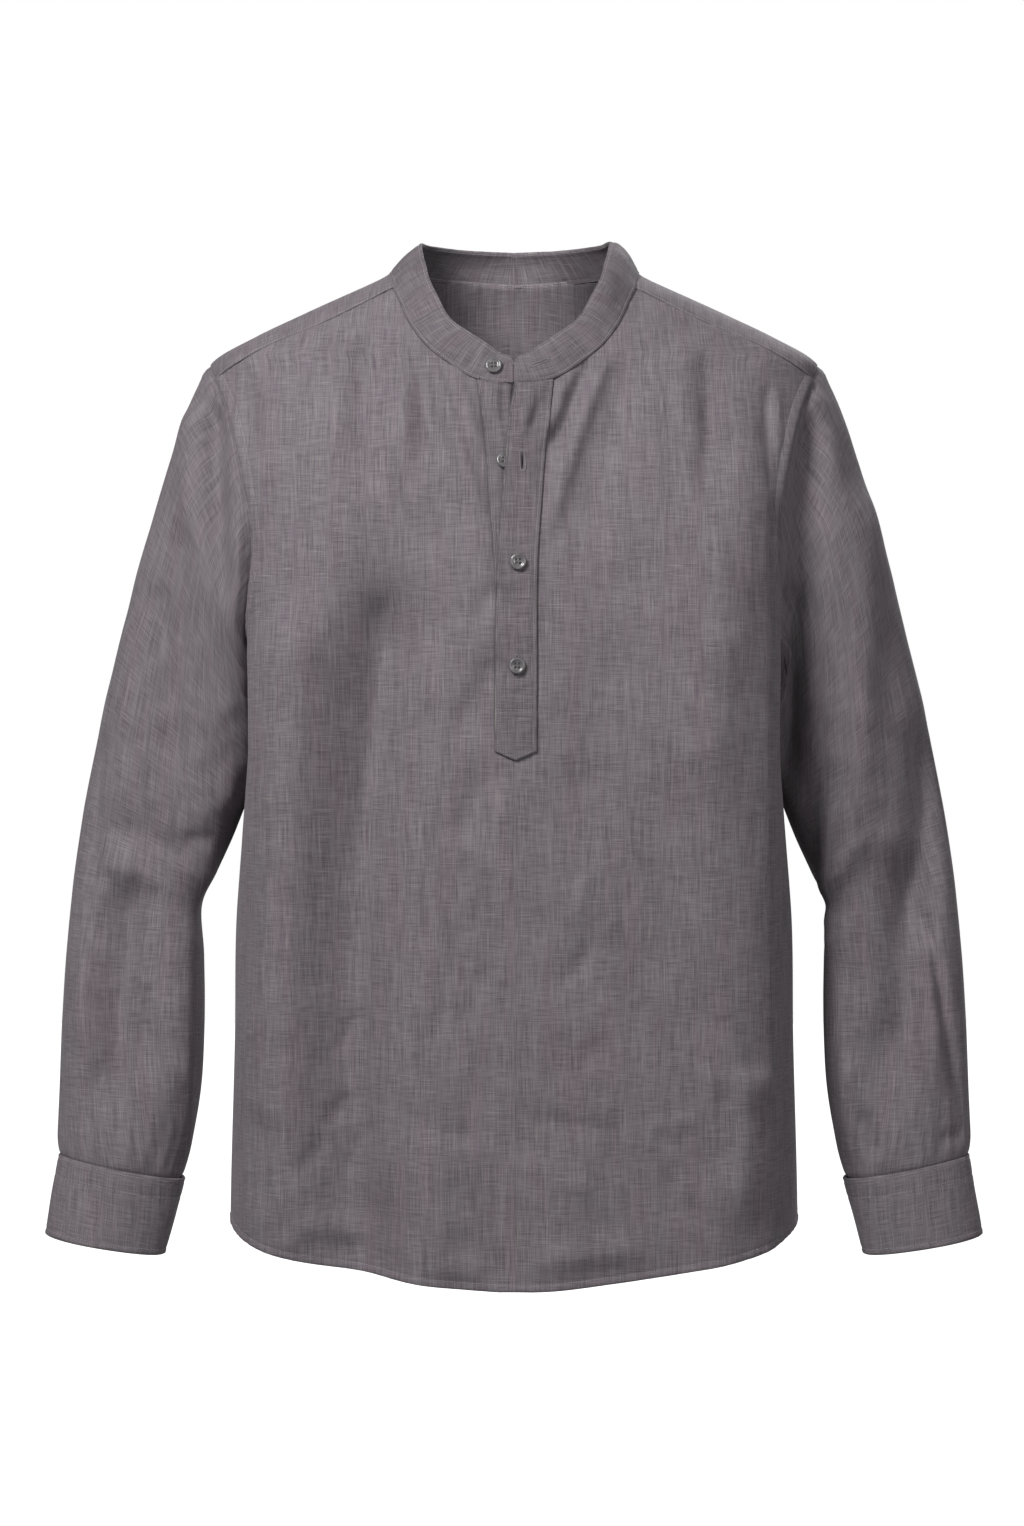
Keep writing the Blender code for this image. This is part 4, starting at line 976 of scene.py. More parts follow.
def upper_placket_grid():
    """The upper placket: a strip over the slot with a pointed foot. Its middle column is the buttonhole line."""
    u = np.concatenate([np.linspace(0, 0.5, UPPER_HALF + 1), np.linspace(0.5, 1, UPPER_HALF + 1)[1:]])
    heights = np.repeat(np.linspace(PLACKET_FOOT, STRIP_TOP, UPPER_ROWS)[:, None], len(u), axis=1)
    right, left = slot_edge(heights, "placket_right"), slot_edge(heights, "placket_left")
    line = slit_line(heights)
    across = np.where(u < 0.5, right + (line - right) * u * 2, line + (left - line) * (u * 2 - 1))
    foot = ease((PLACKET_FOOT + 16 - heights) / 16)
    point = (PLACKET_TIP - PLACKET_FOOT) * (1 - np.abs(2 * (across - right) / (left - right) - 1))
    heights = heights + foot * point + to_neckline(across, heights)
    share = (across - right) / (left - right)
    grid = on_front(across, heights, UPPER_OUT + gape(heights, share))
    side = np.minimum(across - right, left - across)
    run = lengths(grid, 0)
    relief = seam_relief(side, run, PLACKET_STITCH, 0.15, 12.0, 0.16)
    relief += 0.22 * pucker(run, 13.0) * bell(side - 9, 7) - 0.5 * bell(heights - FOOT_STITCH_HEIGHT, 1.2)
    # the two fastened buttons press hollows with a swell below each; above them the open edge falls in a fold
    for at, height, _, _ in SLITS[1:]:
        relief += -0.7 * bell(across - at, 5.0) * bell(heights - height, 7.0)
        relief += 0.6 * bell(across - at - 1, 8) * bell(heights - height + 13, 4)
    relief += -2.4 * bell(across - 17 - (heights + 100) * 0.35, 4.5) * bell(heights + 104, 15)
    relief += 2.2 * bell(across - 9 - (heights + 104) * 0.3, 5.0) * bell(heights + 104, 16)
    grid = grid + grid_normals(grid) * relief[..., None]
    slits = []
    near = np.abs(across - line)
    for _, height, half, open_by in SLITS:
        opening = open_by * np.sqrt(np.clip(1 - ((heights - height) / half) ** 2, 0, 1))
        rows = np.flatnonzero(np.abs(heights[:, UPPER_HALF] - height) < half)
        low, high = rows[0], rows[-1]
        slits.append((UPPER_HALF, low, high, opening[low:high + 1, UPPER_HALF, None] * [1, 0, 0]))
        grid[..., 0] += np.where(near < 1e-6, 0.0, np.sign(across - line) * opening * bell(near, 3.0))
    return grid, heights, across, slits


def under_placket_grid():
    """The under placket: a strip filling the slot, level with the front and lapped a little over its edge."""
    share = np.linspace(0, 1, UNDER_COLUMNS)
    heights = np.repeat(np.linspace(SLOT_LOW + 0.6, STRIP_TOP, UNDER_ROWS)[:, None], UNDER_COLUMNS, axis=1)
    right, left = slot_edge(heights, "slot_right") - 0.6, slot_edge(heights, "slot_left") - 0.4
    across = right + (left - right) * share
    heights = heights + to_neckline(across, heights)
    grid = on_front(across, heights, 0.55)
    side = across - right
    relief = seam_relief(side, lengths(grid, 0), PLACKET_STITCH, 0.15, 15.0, 0.16)
    relief += 0.45 * bell(side - 0.2, 1.3) * ease((slot_edge(heights, "placket_right") - across + 1) / 3)
    # a small ridge and hollow at the open neck, and a deep hollow where the upper placket's fold lies over it
    relief += 1.6 * bell(across + 14, 3.5) * bell(heights + 94, 13)
    relief -= 1.8 * bell(across + 8, 3) * bell(heights + 98, 16)
    relief -= 7.0 * bell(across - 2.5, 4.5) * bell(heights + 88, 12)
    grid = grid + grid_normals(grid) * relief[..., None]
    return grid, heights, across


# ---------------------------------------------------------------- collar band
BAND_ROWS = 18
BAND_CORNER_REACH = 7.0     # length of its rounded ends
BAND_CORNER_CUT = 0.28      # share of its height that they lose at the very end


def band_grid():
    """The band, from one rounded end round the neck to the other: share runs from its seam to its top edge."""
    turns = np.concatenate([np.linspace(0.02, 8, 34), np.linspace(8, 43, 44)[1:], np.linspace(43, 180, 70)[1:]])
    turns = np.concatenate([turns, 360 - turns[-2::-1]])
    share = np.linspace(0, 1, BAND_ROWS + 1)[:, None]
    seam = band_point(turns, 0.5)
    run = lengths(seam[None], 1)[0]
    to_end = np.minimum(run, run[-1] - run)
    cut = 1 - BAND_CORNER_CUT * np.clip(1 - to_end / BAND_CORNER_REACH, 0, 1) ** 2
    grid = band_point(turns[None, :], share * cut)
    side = np.where(turns < 180, 1.0, -1.0)
    grid[..., 0] = side * np.maximum(np.abs(grid[..., 0]), BAND_END)
    up = lengths(grid, 0)
    down = up[-1:] - up
    relief = seam_relief(down, run, BAND_STITCH, 0.1, 16.0, 0.12)
    relief += seam_relief(up, run, BAND_STITCH, 0.1, 17.0, 0.12)
    relief += creases(BAND_CREASES, np.where(turns > 180, turns - 360, turns)[None], share * 20)
    # fuller along its seam in front and behind than over the shoulders, and a slow wave along its middle
    shoulder = ease((turns % 180 - 40) / 26) * ease((146 - turns % 180) / 26)
    relief += 1.1 * bell(up, 5.0) * (1 - 0.75 * shoulder)
    relief += 0.35 * np.sin(run / 21.0) * bell(share - 0.5, 0.35)
    grid = grid + grid_normals(grid) * relief[..., None]
    return grid, turns, run


# ---------------------------------------------------------------- sleeves and cuffs
def tube(table, at, angles, fullness=0.0):
    """Rings of a sleeve or cuff at fractional row numbers: ovals between the outer (angle 0) and inner points,
    with 90 at the front. Fullness squares them a little."""
    rows = np.arange(len(table))
    values = {name: smooth(rows, column(table, SLEEVE_COLUMNS, name), at)[:, None] for name in SLEEVE_COLUMNS}
    cosine, sine = np.cos(np.radians(angles)), np.sin(np.radians(angles))
    share = (1 - cosine) / 2
    across = values["outer_across"] + (values["inner_across"] - values["outer_across"]) * share
    height = values["outer_height"] + (values["inner_height"] - values["outer_height"]) * share
    depth = values["middle"] - values["half_depth"] * np.sign(sine) * np.abs(sine) ** (SLEEVE_CORNER - fullness)
    return np.stack(np.broadcast_arrays(across, depth, height), axis=-1)


SLEEVE_GATHERS = ((14, 0.8), (29, 1.0), (42, -0.8), (51, 1.1), (62, -0.9), (70, 0.8), (80, 1.2), (88, -1.0),
                  (97, 1.3), (106, -0.7), (114, 1.1), (125, -1.2), (134, 0.9), (147, 1.0), (159, -0.8), (206, 1.0),
                  (224, -0.9), (239, 1.2), (251, -0.8), (262, 1.1), (276, -1.0), (287, 1.2), (301, -0.9), (318, 1.1),
                  (337, -0.7))


def sleeve_grid(front_table):
    """A left sleeve from the armhole down: its first rings lie inside the body's edge, its last inside the
    cuff."""
    angles = 180 + np.arange(SLEEVE_SIDES) * 360 / SLEEVE_SIDES
    rows = np.arange(len(SLEEVE))
    middles = tube(SLEEVE, rows, np.array([0.0, 90.0, 180.0])).mean(axis=1)
    run = np.concatenate([[0], np.cumsum(np.linalg.norm(np.diff(middles, axis=0), axis=-1))])
    at = np.interp(shares(run[-1], 3.0, low=12, high=12, fine=1.5) * run[-1], run, rows)
    grid = tube(SLEEVE, at, angles, 0.26 * (ease(at / 3) * ease((rows[-1] - at) / 4))[:, None])
    places = armhole(angles)
    seam = torso(places[:, 0], places[:, 1])
    fade = np.interp(at, np.arange(len(CAP_FADE)), CAP_FADE)[:, None, None]
    grid = grid + fade * (seam - tube(SLEEVE, np.array([0.0]), angles)[0])
    down = lengths(grid, 0)
    up = down[-1:] - down
    grid[..., 0] += 2.0 * (1 - bell(down, 3.0)) * bell(down, 60.0)
    across, height = grid[..., 0], grid[..., 2]
    wrapped = np.concatenate([grid, grid[:, :1]], axis=1)
    round_tube = lengths(wrapped, 1)
    drop = down.mean(axis=1, keepdims=True)
    flat = np.stack(np.broadcast_arrays(round_tube - round_tube[:, -1:] / 2, -drop), axis=-1)
    sine = np.sin(np.radians(angles))[None, :]
    front, back = ease((sine - 0.02) / 0.45), ease((-sine - 0.02) / 0.45)
    relief = creases(front_table, across, height) * front + creases(SLEEVE_BACK, across, height) * back
    relief *= ease((down + 1) / 13)
    relief += crumple(across + 400 * (sine > 0), height, 0.40) * np.maximum(front, back)
    around = round_tube[:, :-1]
    tip = bell(((angles + 180) % 360 - 180)[None, :], 24.0)
    relief += 0.8 * pucker(around, 18.0) * bell(down - 7, 8.0) - 3.2 * (1 - 0.8 * tip) * bell(down, 5.0)
    for angle, size in SLEEVE_GATHERS:
        off = (angles - angle + 180) % 360 - 180
        relief += size * bell(off, 2.8)[None] * ease(up / 14) * bell(up, 34.0 + 9 * size)
    relief += 0.7 * bell(up - 12, 16.0) - 0.9 * bell(up, 3.0)
    towards = grid - grid.mean(axis=1, keepdims=True)
    normals = grid_normals(grid[::-1, ::-1], closed=True)[::-1, ::-1]
    grid = grid + unit(normals * [0.45, 1, 1]) * relief[..., None]
    hidden = torso(places[:, 0], places[:, 1], -2.1) - [4.0, 0, 0]
    edge = torso(places[:, 0], places[:, 1], -1.5) + [0.4, 0, 0]
    inside = grid[-1] - unit(towards[-1]) * 1.6 + [0, 0, -5.0]
    grid[-1] -= unit(towards[-1]) * 1.2
    flat = np.concatenate([flat[:1] + [0, 5], flat, flat[-1:] - [0, 5]])
    return np.concatenate([hidden[None], edge[None], grid[1:], inside[None]]), flat


def cuff_grid(side):
    """A left cuff as a strip lapped on itself, its upper end lifted clear of the under end."""
    angles = CUFF_START + np.linspace(0, 360 + CUFF_LAP, CUFF_COLUMNS)
    at = np.linspace(0, len(CUFF) - 1, CUFF_ROWS)
    grid = tube(CUFF, at, angles)
    lift = CUFF_LIFT * ease((angles - CUFF_START - CUFF_RISE_AFTER) / CUFF_RISE_OVER)
    middle = tube(CUFF, at, np.array([0.0, 180.0])).mean(axis=1)[:, None]
    away = unit(grid - middle)
    down = lengths(grid, 0)
    up = down[-1:] - down
    run = lengths(grid, 1)
    relief = seam_relief(down, run, CUFF_TOP_STITCH, 0.2, 20.0 + side, 0.16)
    relief += seam_relief(up, run, CUFF_LOW_STITCH, 0.3, 21.0 + side, 0.22)
    second = down - CUFF_SECOND_STITCH
    relief += -0.35 * bell(second, 1.1) + 0.20 * pucker(run, 22.0) * bell(second, 6)
    relief += 0.5 * np.sin(run / 17.0 + side) * bell(down - 27, 16) + 0.35 * np.sin(run / 9.0 + down / 14.0)
    return grid + away * (lift + relief)[..., None]


def ready(grid, side):
    """Turns a left sleeve's grid from rows downwards into rows upwards, or mirrors it for the right."""
    return grid[::-1, ::-side] * [side, 1, 1]


# ---------------------------------------------------------------- finishes
class Nodes:
    """Builds one node material: each call adds a node, sets its inputs and returns it."""

    def __init__(self, name):
        """Starts a material with its plain surface."""
        self.material = bpy.data.materials.new(name)
        self.material.use_nodes = True
        self.tree = self.material.node_tree
        self.shader = self.tree.nodes["Principled BSDF"]

    def add(self, kind, inputs=None, **settings):
        """A new node with its settings and inputs."""
        node = self.tree.nodes.new("ShaderNode" + kind)
        for key, value in settings.items():
            setattr(node, key, value)
        self.set(node, inputs or {})
        return node

    def set(self, node, inputs):
        """Sets a node's inputs: a socket is linked and a value is put on."""
        for key, value in inputs.items():
            if isinstance(value, bpy.types.NodeSocket):
                self.tree.links.new(value, node.inputs[key])
            else:
                node.inputs[key].default_value = value

    def math(self, operation, first, second=0.0):
        """One sum on two values."""
        return self.add("Math", {0: first, 1: second}, operation=operation).outputs[0]

    def noise(self, vector, scale, detail=2.0, roughness=0.5):
        """Flat noise, 0 to 1."""
        inputs = {"Vector": vector, "Scale": scale, "Detail": detail, "Roughness": roughness}
        return self.add("TexNoise", inputs, noise_dimensions="2D").outputs[0]

    def stretched(self, vector, along_u, along_v):
        """Noise whose grains are along_u by along_v metres."""
        mapped = self.add("Mapping", {"Vector": vector, "Scale": (1 / along_u, 1 / along_v, 1.0)}).outputs[0]
        return self.noise(mapped, 1.0)

    def mix(self, factor, first, second, blend="MIX"):
        """Two colours mixed by a factor."""
        return self.add("Mix", {0: factor, 6: first, 7: second}, data_type="RGBA", blend_type=blend).outputs[2]


def linen(name, dark, light, warm, slubs, thread_gap=0.00062):
    """Slub linen on the piece's own weave map, in metres: plain weave of sines, long thick threads both ways as
    stretched noise, and a slow drift between a neutral and a warm grey."""
    n = Nodes(name)
    place = n.add("UVMap", uv_map="weave").outputs[0]
    # warp, weft, their finer threads and broad bands: length across and along in metres, and share
    grains = ((0.0009, 0.050, 0.18), (0.026, 0.0009, 0.15), (0.00040, 0.020, 0.29), (0.013, 0.00040, 0.24),
              (0.0055, 0.050, 0.09))
    threads = n.math("MULTIPLY", n.noise(place, 26.0, 3.0), 0.05)
    for across, along_it, share in grains:
        threads = n.math("ADD", threads, n.math("MULTIPLY", n.stretched(place, across, along_it), share))
    patches = n.stretched(place, 0.017, 0.110)
    spread = n.add("MapRange", {"Value": threads, "From Min": 0.41, "From Max": 0.59}).outputs[0]
    neutral = n.mix(spread, dark, light)
    warmth = n.add("MapRange", {"Value": patches, "From Min": 0.42, "From Max": 0.66}).outputs[0]
    colour = n.mix(n.math("MULTIPLY", warmth, 0.55), neutral, warm, "MULTIPLY")
    thick = n.math("MAXIMUM", n.stretched(place, 0.00095, 0.034), n.stretched(place, 0.021, 0.0008))
    slub = n.add("MapRange", {"Value": thick, "From Min": 0.64, "From Max": 0.76, "To Max": 0.45}).outputs[0]
    colour = n.mix(slub, colour, slubs)
    split = n.add("SeparateXYZ", {0: place})
    turns = math.pi / thread_gap
    over = n.math("MULTIPLY", n.math("SINE", n.math("MULTIPLY", split.outputs[0], turns)),
                  n.math("SINE", n.math("MULTIPLY", split.outputs[1], turns)))
    raised = n.math("ADD", n.math("MULTIPLY", over, 0.35), n.math("MULTIPLY", threads, 1.6))
    weave = n.add("Bump", {"Height": raised, "Strength": 0.75, "Distance": 0.00016})
    soft = n.noise(place, 85.0, 3.0, 0.55)
    crush = n.add("Bump", {"Height": soft, "Strength": 0.5, "Distance": 0.0011, "Normal": weave.outputs[0]})
    n.set(n.shader, {"Base Color": colour, "Normal": crush.outputs[0], "Roughness": 0.86,
                     "Specular IOR Level": 0.22, "Sheen Weight": 0.16, "Sheen Roughness": 0.45,
                     "Sheen Tint": (0.85, 0.80, 0.84, 1.0)})
    return n.material


def sewing_thread(name, colour):
    """Twisted thread: one colour with a fine grain along Object coordinates, and a little sheen."""
    n = Nodes(name)
    place = n.add("TexCoord").outputs["Object"]
    grain = n.add("TexNoise", {"Vector": place, "Scale": 900.0, "Detail": 1.0}).outputs[0]
    dark, light = ([c * shade for c in colour[:3]] + [1.0] for shade in (0.7, 1.3))
    bump = n.add("Bump", {"Height": grain, "Strength": 0.5, "Distance": 0.00008}).outputs[0]
    n.set(n.shader, {"Base Color": n.mix(grain, dark, light), "Normal": bump, "Roughness": 0.55,
                     "Sheen Weight": 0.3})
    return n.material


def resin(name):
    """Polished dark resin: faint clouded streaks and a few fine scratches in its gloss."""
    n = Nodes(name)
    place = n.add("TexCoord").outputs["Object"]
    streaks = n.add("TexNoise", {"Vector": place, "Scale": 160.0, "Detail": 3.0, "Distortion": 1.2}).outputs[0]
    colour = n.mix(streaks, (0.070, 0.066, 0.070, 1), (0.165, 0.155, 0.160, 1))
    wear = n.add("TexNoise", {"Vector": place, "Scale": 700.0, "Detail": 2.0}).outputs[0]
    gloss = n.add("MapRange", {"Value": wear, "To Min": 0.20, "To Max": 0.38}).outputs[0]
    bump = n.add("Bump", {"Height": wear, "Strength": 0.15, "Distance": 0.00005}).outputs[0]
    n.set(n.shader, {"Base Color": colour, "Roughness": gloss, "Normal": bump, "Coat Weight": 0.5,
                     "Coat Roughness": 0.12})
    return n.material


WARM_TINT, SLUB_COLOUR = (1.05, 0.94, 0.99, 1), (0.285, 0.270, 0.255, 1)
LINEN = linen("grey_slub_linen", (0.102, 0.0893, 0.1005, 1), (0.214, 0.193, 0.209, 1), WARM_TINT, SLUB_COLOUR)
# A darker copy of the linen for the band and plackets: painted shade, its colours about 16 per cent darker to stand in
# for the shade on these pieces; the doubled cuffs keep the plain linen.
SHADED_DOUBLED_LINEN = linen("doubled_slub_linen_painted_shade", (0.086, 0.075, 0.0845, 1), (0.180, 0.162, 0.1755, 1), WARM_TINT,
                      SLUB_COLOUR)
THREAD_FINISH = sewing_thread("grey_sewing_thread", (0.33, 0.31, 0.318, 1))
DARK_THREAD = sewing_thread("dark_sewing_thread", (0.085, 0.078, 0.083, 1))
# near-black colour of the cords that paint shadow in the folds of the seams
SEAM_SHADOW_FINISH = sewing_thread("painted_seam_shadow", (0.045, 0.040, 0.043, 1))
BINDING_THREAD = sewing_thread("buttonhole_thread", (0.17, 0.155, 0.162, 1))
RESIN = resin("dark_grey_resin")


# ---------------------------------------------------------------- making the pieces
def declare(piece, nodes):
    """Rides the piece on the shirt and lets it stand for its solids."""
    if nodes:
        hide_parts(*nodes)
    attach(piece, "root")
    return piece


def edge_stitch(group, grid, from_edge, edge, ends=(0, None), normals=None):
    """Stitches along a line a set distance in from a named edge of a grid."""
    normals = grid_normals(grid) if normals is None else normals
    turned, up = edge_first(grid, edge), edge_first(normals, edge)
    distance = lengths(turned, 1)
    path, direction = line_at(turned, distance, from_edge), line_at(up, distance, from_edge)
    part = slice(*ends)
    stitch(group, path[part], unit(direction[part]))


seam_shadows = []     # near-black cords of painted seam shadow laid so far


def seam_shadow(path, normals):
    """Painted shadow in the fold of a seam: a thin near-black six-sided cord along a path."""
    here, normals = even_points(path, SEAM_SHADOW_STEP, (normals,))
    _, side, up = frame_along(here, normals)
    seam_shadows.append(round_cord(here, side, up, SEAM_SHADOW_HALF))


def edge_shadow(grid, edge, beyond, sunk, ends, normals):
    """A cord of painted seam shadow just outside a named edge of a grid, sunk below its outer face."""
    turned, up = edge_first(grid, edge), edge_first(normals, edge)[:, 0]
    part = slice(*ends)
    outward = unit(turned[:, 0] - turned[:, 1])
    seam_shadow((turned[:, 0] + beyond * outward - sunk * up)[part], up[part])


def stitch_body_panel(group, body, side_heights):
    """Stitches and painted seam shadows of the front or back: both armholes, above the underarm, and the hem."""
    normals = grid_normals(body)
    under_arm = int((side_heights < ARMHOLE_LOW - 2).sum())
    for edge in ("right", "left"):
        edge_stitch(group, body, ARMHOLE_STITCH, edge, (under_arm, None), normals)
        # painted shadow along the armhole seam
        edge_shadow(body, edge, 0.35, 0.75, (under_arm + 3, -2), normals)
    edge_stitch(group, body, HEM_STITCH, "low", (0, None), normals)


# The front, with the slot for the plackets left open, the back and the yoke.
grid, places = front_grid()
keep = np.ones((grid.shape[0] - 1, grid.shape[1] - 1), bool)
keep[len(LOW_V):, len(FRONT_U) - 1:len(FRONT_U) + CENTRE_COLUMNS] = False
front = cloth("front_cloth", grid, CLOTH, LINEN, panel_weave(places, 4), keep=keep)
declare(front, ["front_body"])
stitch_body_panel("front_stitching", grid[:-1], places[:, -1, 1])

grid, places = back_grid()
back = cloth("back_cloth", grid, CLOTH, LINEN, panel_weave(places, 5))
declare(back, ["back_body"])
stitch_body_panel("back_stitching", grid[:-1], places[:, 0, 1])

grid, places, behind = yoke_grid()
body = grid[:-1]
yoke_weave = np.stack([grid[..., 0] * 1.1, grid[..., 1] * 1.1 - np.maximum(0, -grid[..., 2] - 40) * 0.7], axis=-1)
yoke = cloth("yoke_cloth", grid, CLOTH, LINEN, yoke_weave)
declare(yoke, ["yoke"])
body_normals = grid_normals(body)
across_back = np.flatnonzero(behind > 0.5)
back_part = (across_back[0], across_back[-1] + 1)
whole, seamed = (0, None), (2, -2)
for edge, stitched, lined in (("left", whole, seamed), ("right", whole, seamed), ("low", back_part, back_part)):
    edge_stitch("yoke_stitching", body, YOKE_STITCH, edge, stitched, body_normals)
    # painted shadow along the yoke's seams
    edge_shadow(body, edge, 0.2, 0.55, lined, body_normals)

# The plackets.
grid, heights, across = under_placket_grid()
# both plackets take the darker linen copy with painted shade
under_placket = cloth("under_placket_cloth", grid, FOLDED, SHADED_DOUBLED_LINEN, np.stack([across, heights], axis=-1))
declare(under_placket, ["placket_under"])
edge_stitch("placket_stitching", grid, PLACKET_STITCH, "left")

grid, heights, across, slits = upper_placket_grid()
upper_placket = cloth("upper_placket_cloth", grid, FOLDED, SHADED_DOUBLED_LINEN, np.stack([across + 90, heights], axis=-1),
                      slits=slits)
declare(upper_placket, ["placket_upper"])
upper_normals = grid_normals(grid)
for edge, part in (("left", (0, None)), ("right", (0, None)), ("low", (1, -1))):
    edge_stitch("placket_stitching", grid, PLACKET_STITCH, edge, part, upper_normals)
foot_row = int(np.argmin(np.abs(heights[:, UPPER_HALF] - FOOT_STITCH_HEIGHT)))
stitch("placket_stitching", grid[foot_row, 1:-1], upper_normals[foot_row, 1:-1])
placket_surface = (grid, upper_normals, heights, across)
# Painted seam shadows beside the plackets: near-black cords along the under placket's edge where it shows, and along
# both edges of the upper placket.
line_heights = np.linspace(SLOT_LOW + 6, SLOT_TOP - 5, 160)
under_edge, upper_edge, far_edge = (slot_edge(line_heights, name)
                                    for name in ("slot_right", "placket_right", "placket_left"))
toward = np.broadcast_to([0.0, -1.0, 0.0], (len(line_heights), 3))
showing = under_edge < upper_edge - 1.5
seam_shadow(on_front(under_edge - 1.1, line_heights, 0.4)[showing], toward[showing])
seam_shadow(on_front(upper_edge - 0.75, line_heights, np.where(showing, 1.2, 0.7)), toward)
seam_shadow(on_front(far_edge + 0.4, line_heights, 0.15), toward)

# The band.
grid, turns, run = band_grid()
turned = swap(grid)[::-1]
turned_weave = swap(np.stack(np.broadcast_arrays(run[None], lengths(grid, 0)), axis=-1))[::-1]
slit_columns = np.flatnonzero((turns[::-1] > COLLAR_SLIT[0]) & (turns[::-1] < COLLAR_SLIT[1]))
slit_row = int(BAND_ROWS * COLLAR_SLIT_SHARE)
low, high = slit_columns[0], slit_columns[-1]
opening = np.zeros((high - low + 1, 3))
opening[:, 2] = COLLAR_SLIT_OPEN * np.sqrt(np.clip(1 - np.linspace(-1, 1, high - low + 1) ** 2, 0, 1))
# the band takes the darker linen copy with painted shade
band = cloth("band_cloth", turned, DOUBLED, SHADED_DOUBLED_LINEN, turned_weave, slits=[(slit_row, low, high, opening)])
declare(band, ["collar_band"])
band_normals = grid_normals(grid)
edge_stitch("band_stitching", grid, BAND_STITCH, "high", (3, -3), band_normals)
edge_stitch("band_stitching", grid, BAND_STITCH, "low", (2, -2), band_normals)
for edge in ("left", "right"):
    edge_stitch("band_stitching", grid[1:-2], BAND_STITCH, edge, (0, None), band_normals[1:-2])
inner_band = grid - band_normals * (DOUBLED + 0.05)
edge_stitch("band_stitching", inner_band, BAND_INNER_STITCH, "low", (2, -2), -band_normals)
edge_stitch("band_stitching", inner_band, BAND_STITCH, "high", (3, -3), -band_normals)
# painted shadow under the band's lower edge
edge_shadow(grid, "low", 0.15, 1.0, (4, -4), band_normals)
band_surface = (grid, band_normals, turns)

# The sleeves and cuffs.
for word, side, table in (("left", 1, LEFT_SLEEVE_FRONT), ("right", -1, RIGHT_SLEEVE_FRONT)):
    grid, weave = sleeve_grid(table)
    sleeve = cloth("sleeve_cloth_" + word, ready(grid, side), CLOTH, LINEN, weave[::-1, ::-side], closed=True)
    declare(sleeve, ["sleeve_" + word])
    grid = cuff_grid(side)
    made = ready(grid, side)
    weave = np.stack([lengths(grid, 1), -lengths(grid, 0)], axis=-1)
    cuff = cloth("cuff_cloth_" + word, made, DOUBLED, LINEN, weave[::-1, ::-side])
    declare(cuff, ["cuff_" + word])
    cuff_normals = grid_normals(made)
    for edge, level in (("high", CUFF_TOP_STITCH), ("high", CUFF_SECOND_STITCH), ("low", CUFF_LOW_STITCH),
                        ("left" if side > 0 else "right", CUFF_END_STITCH)):
        edge_stitch("cuff_stitching", made, level, edge, (1, -1), cuff_normals)
    # painted shadow along the cuff's top edge
    edge_shadow(made, "high", 0.15, 1.1, (2, -2), cuff_normals)


# ---------------------------------------------------------------- buttons and buttonholes
BUTTON_PROFILE = (
    (0.0, 1.95), (0.6, 1.94), (1.2, 1.93), (1.8, 1.93), (2.4, 1.96), (3.0, 2.04), (3.5, 2.20), (3.9, 2.46),
    (4.25, 2.60), (4.7, 2.66), (5.15, 2.58), (5.5, 2.36), (5.74, 2.0), (5.8, 1.55), (5.7, 1.1), (5.35, 0.65),
    (4.8, 0.3), (4.0, 0.1), (2.0, 0.0), (0.0, 0.0),
)
HOLE_RADIUS, HOLE_PLACE, HOLE_DEPTH = 0.74, 1.28, 1.5
BUTTON_SECTORS = 60


def button_points():
    """A four-hole button on its back at the origin: its profile turned round +Z, with four wells sunk in its
    face. A well's depth is a steep bell of the distance from its middle."""
    profile = np.array(BUTTON_PROFILE)
    run = np.concatenate([[0], np.cumsum(np.linalg.norm(np.diff(profile, axis=0), axis=-1))])
    front = np.linspace(0, run[7], 24)
    rest = np.linspace(run[7], run[-1], 26)[1:]
    at = np.concatenate([front, rest])[1:-1]
    radius, height = smooth(run, profile[:, 0], at), smooth(run, profile[:, 1], at)
    angle = np.arange(BUTTON_SECTORS) * 2 * math.pi / BUTTON_SECTORS
    x, y = radius[:, None] * np.cos(angle), radius[:, None] * np.sin(angle)
    z = np.repeat(height[:, None], BUTTON_SECTORS, axis=1)
    face = (np.arange(len(at)) < 30)[:, None]
    off = np.hypot(np.abs(x) - HOLE_PLACE, np.abs(y) - HOLE_PLACE)
    z = z - face * HOLE_DEPTH * np.exp(-(off / HOLE_RADIUS) ** 6)
    ring = np.stack([x, y, z], axis=-1).reshape(-1, 3)
    points = np.concatenate([ring, [[0, 0, profile[0, 1]], [0, 0, 0.0]]])
    quads = quads_of(len(at), BUTTON_SECTORS, closed=True).reshape(-1, 4)[:, ::-1]
    first, last = np.arange(BUTTON_SECTORS), np.arange(BUTTON_SECTORS) + (len(at) - 1) * BUTTON_SECTORS
    top = np.stack([np.full(BUTTON_SECTORS, len(ring)), first, np.roll(first, -1)], axis=-1)
    bottom = np.stack([np.full(BUTTON_SECTORS, len(ring) + 1), np.roll(last, -1), last], axis=-1)
    return points, [np.concatenate([top, bottom]), quads]


BUTTON_POINTS, BUTTON_FACES = button_points()
bars = []           # threads between the holes of the buttons placed so far


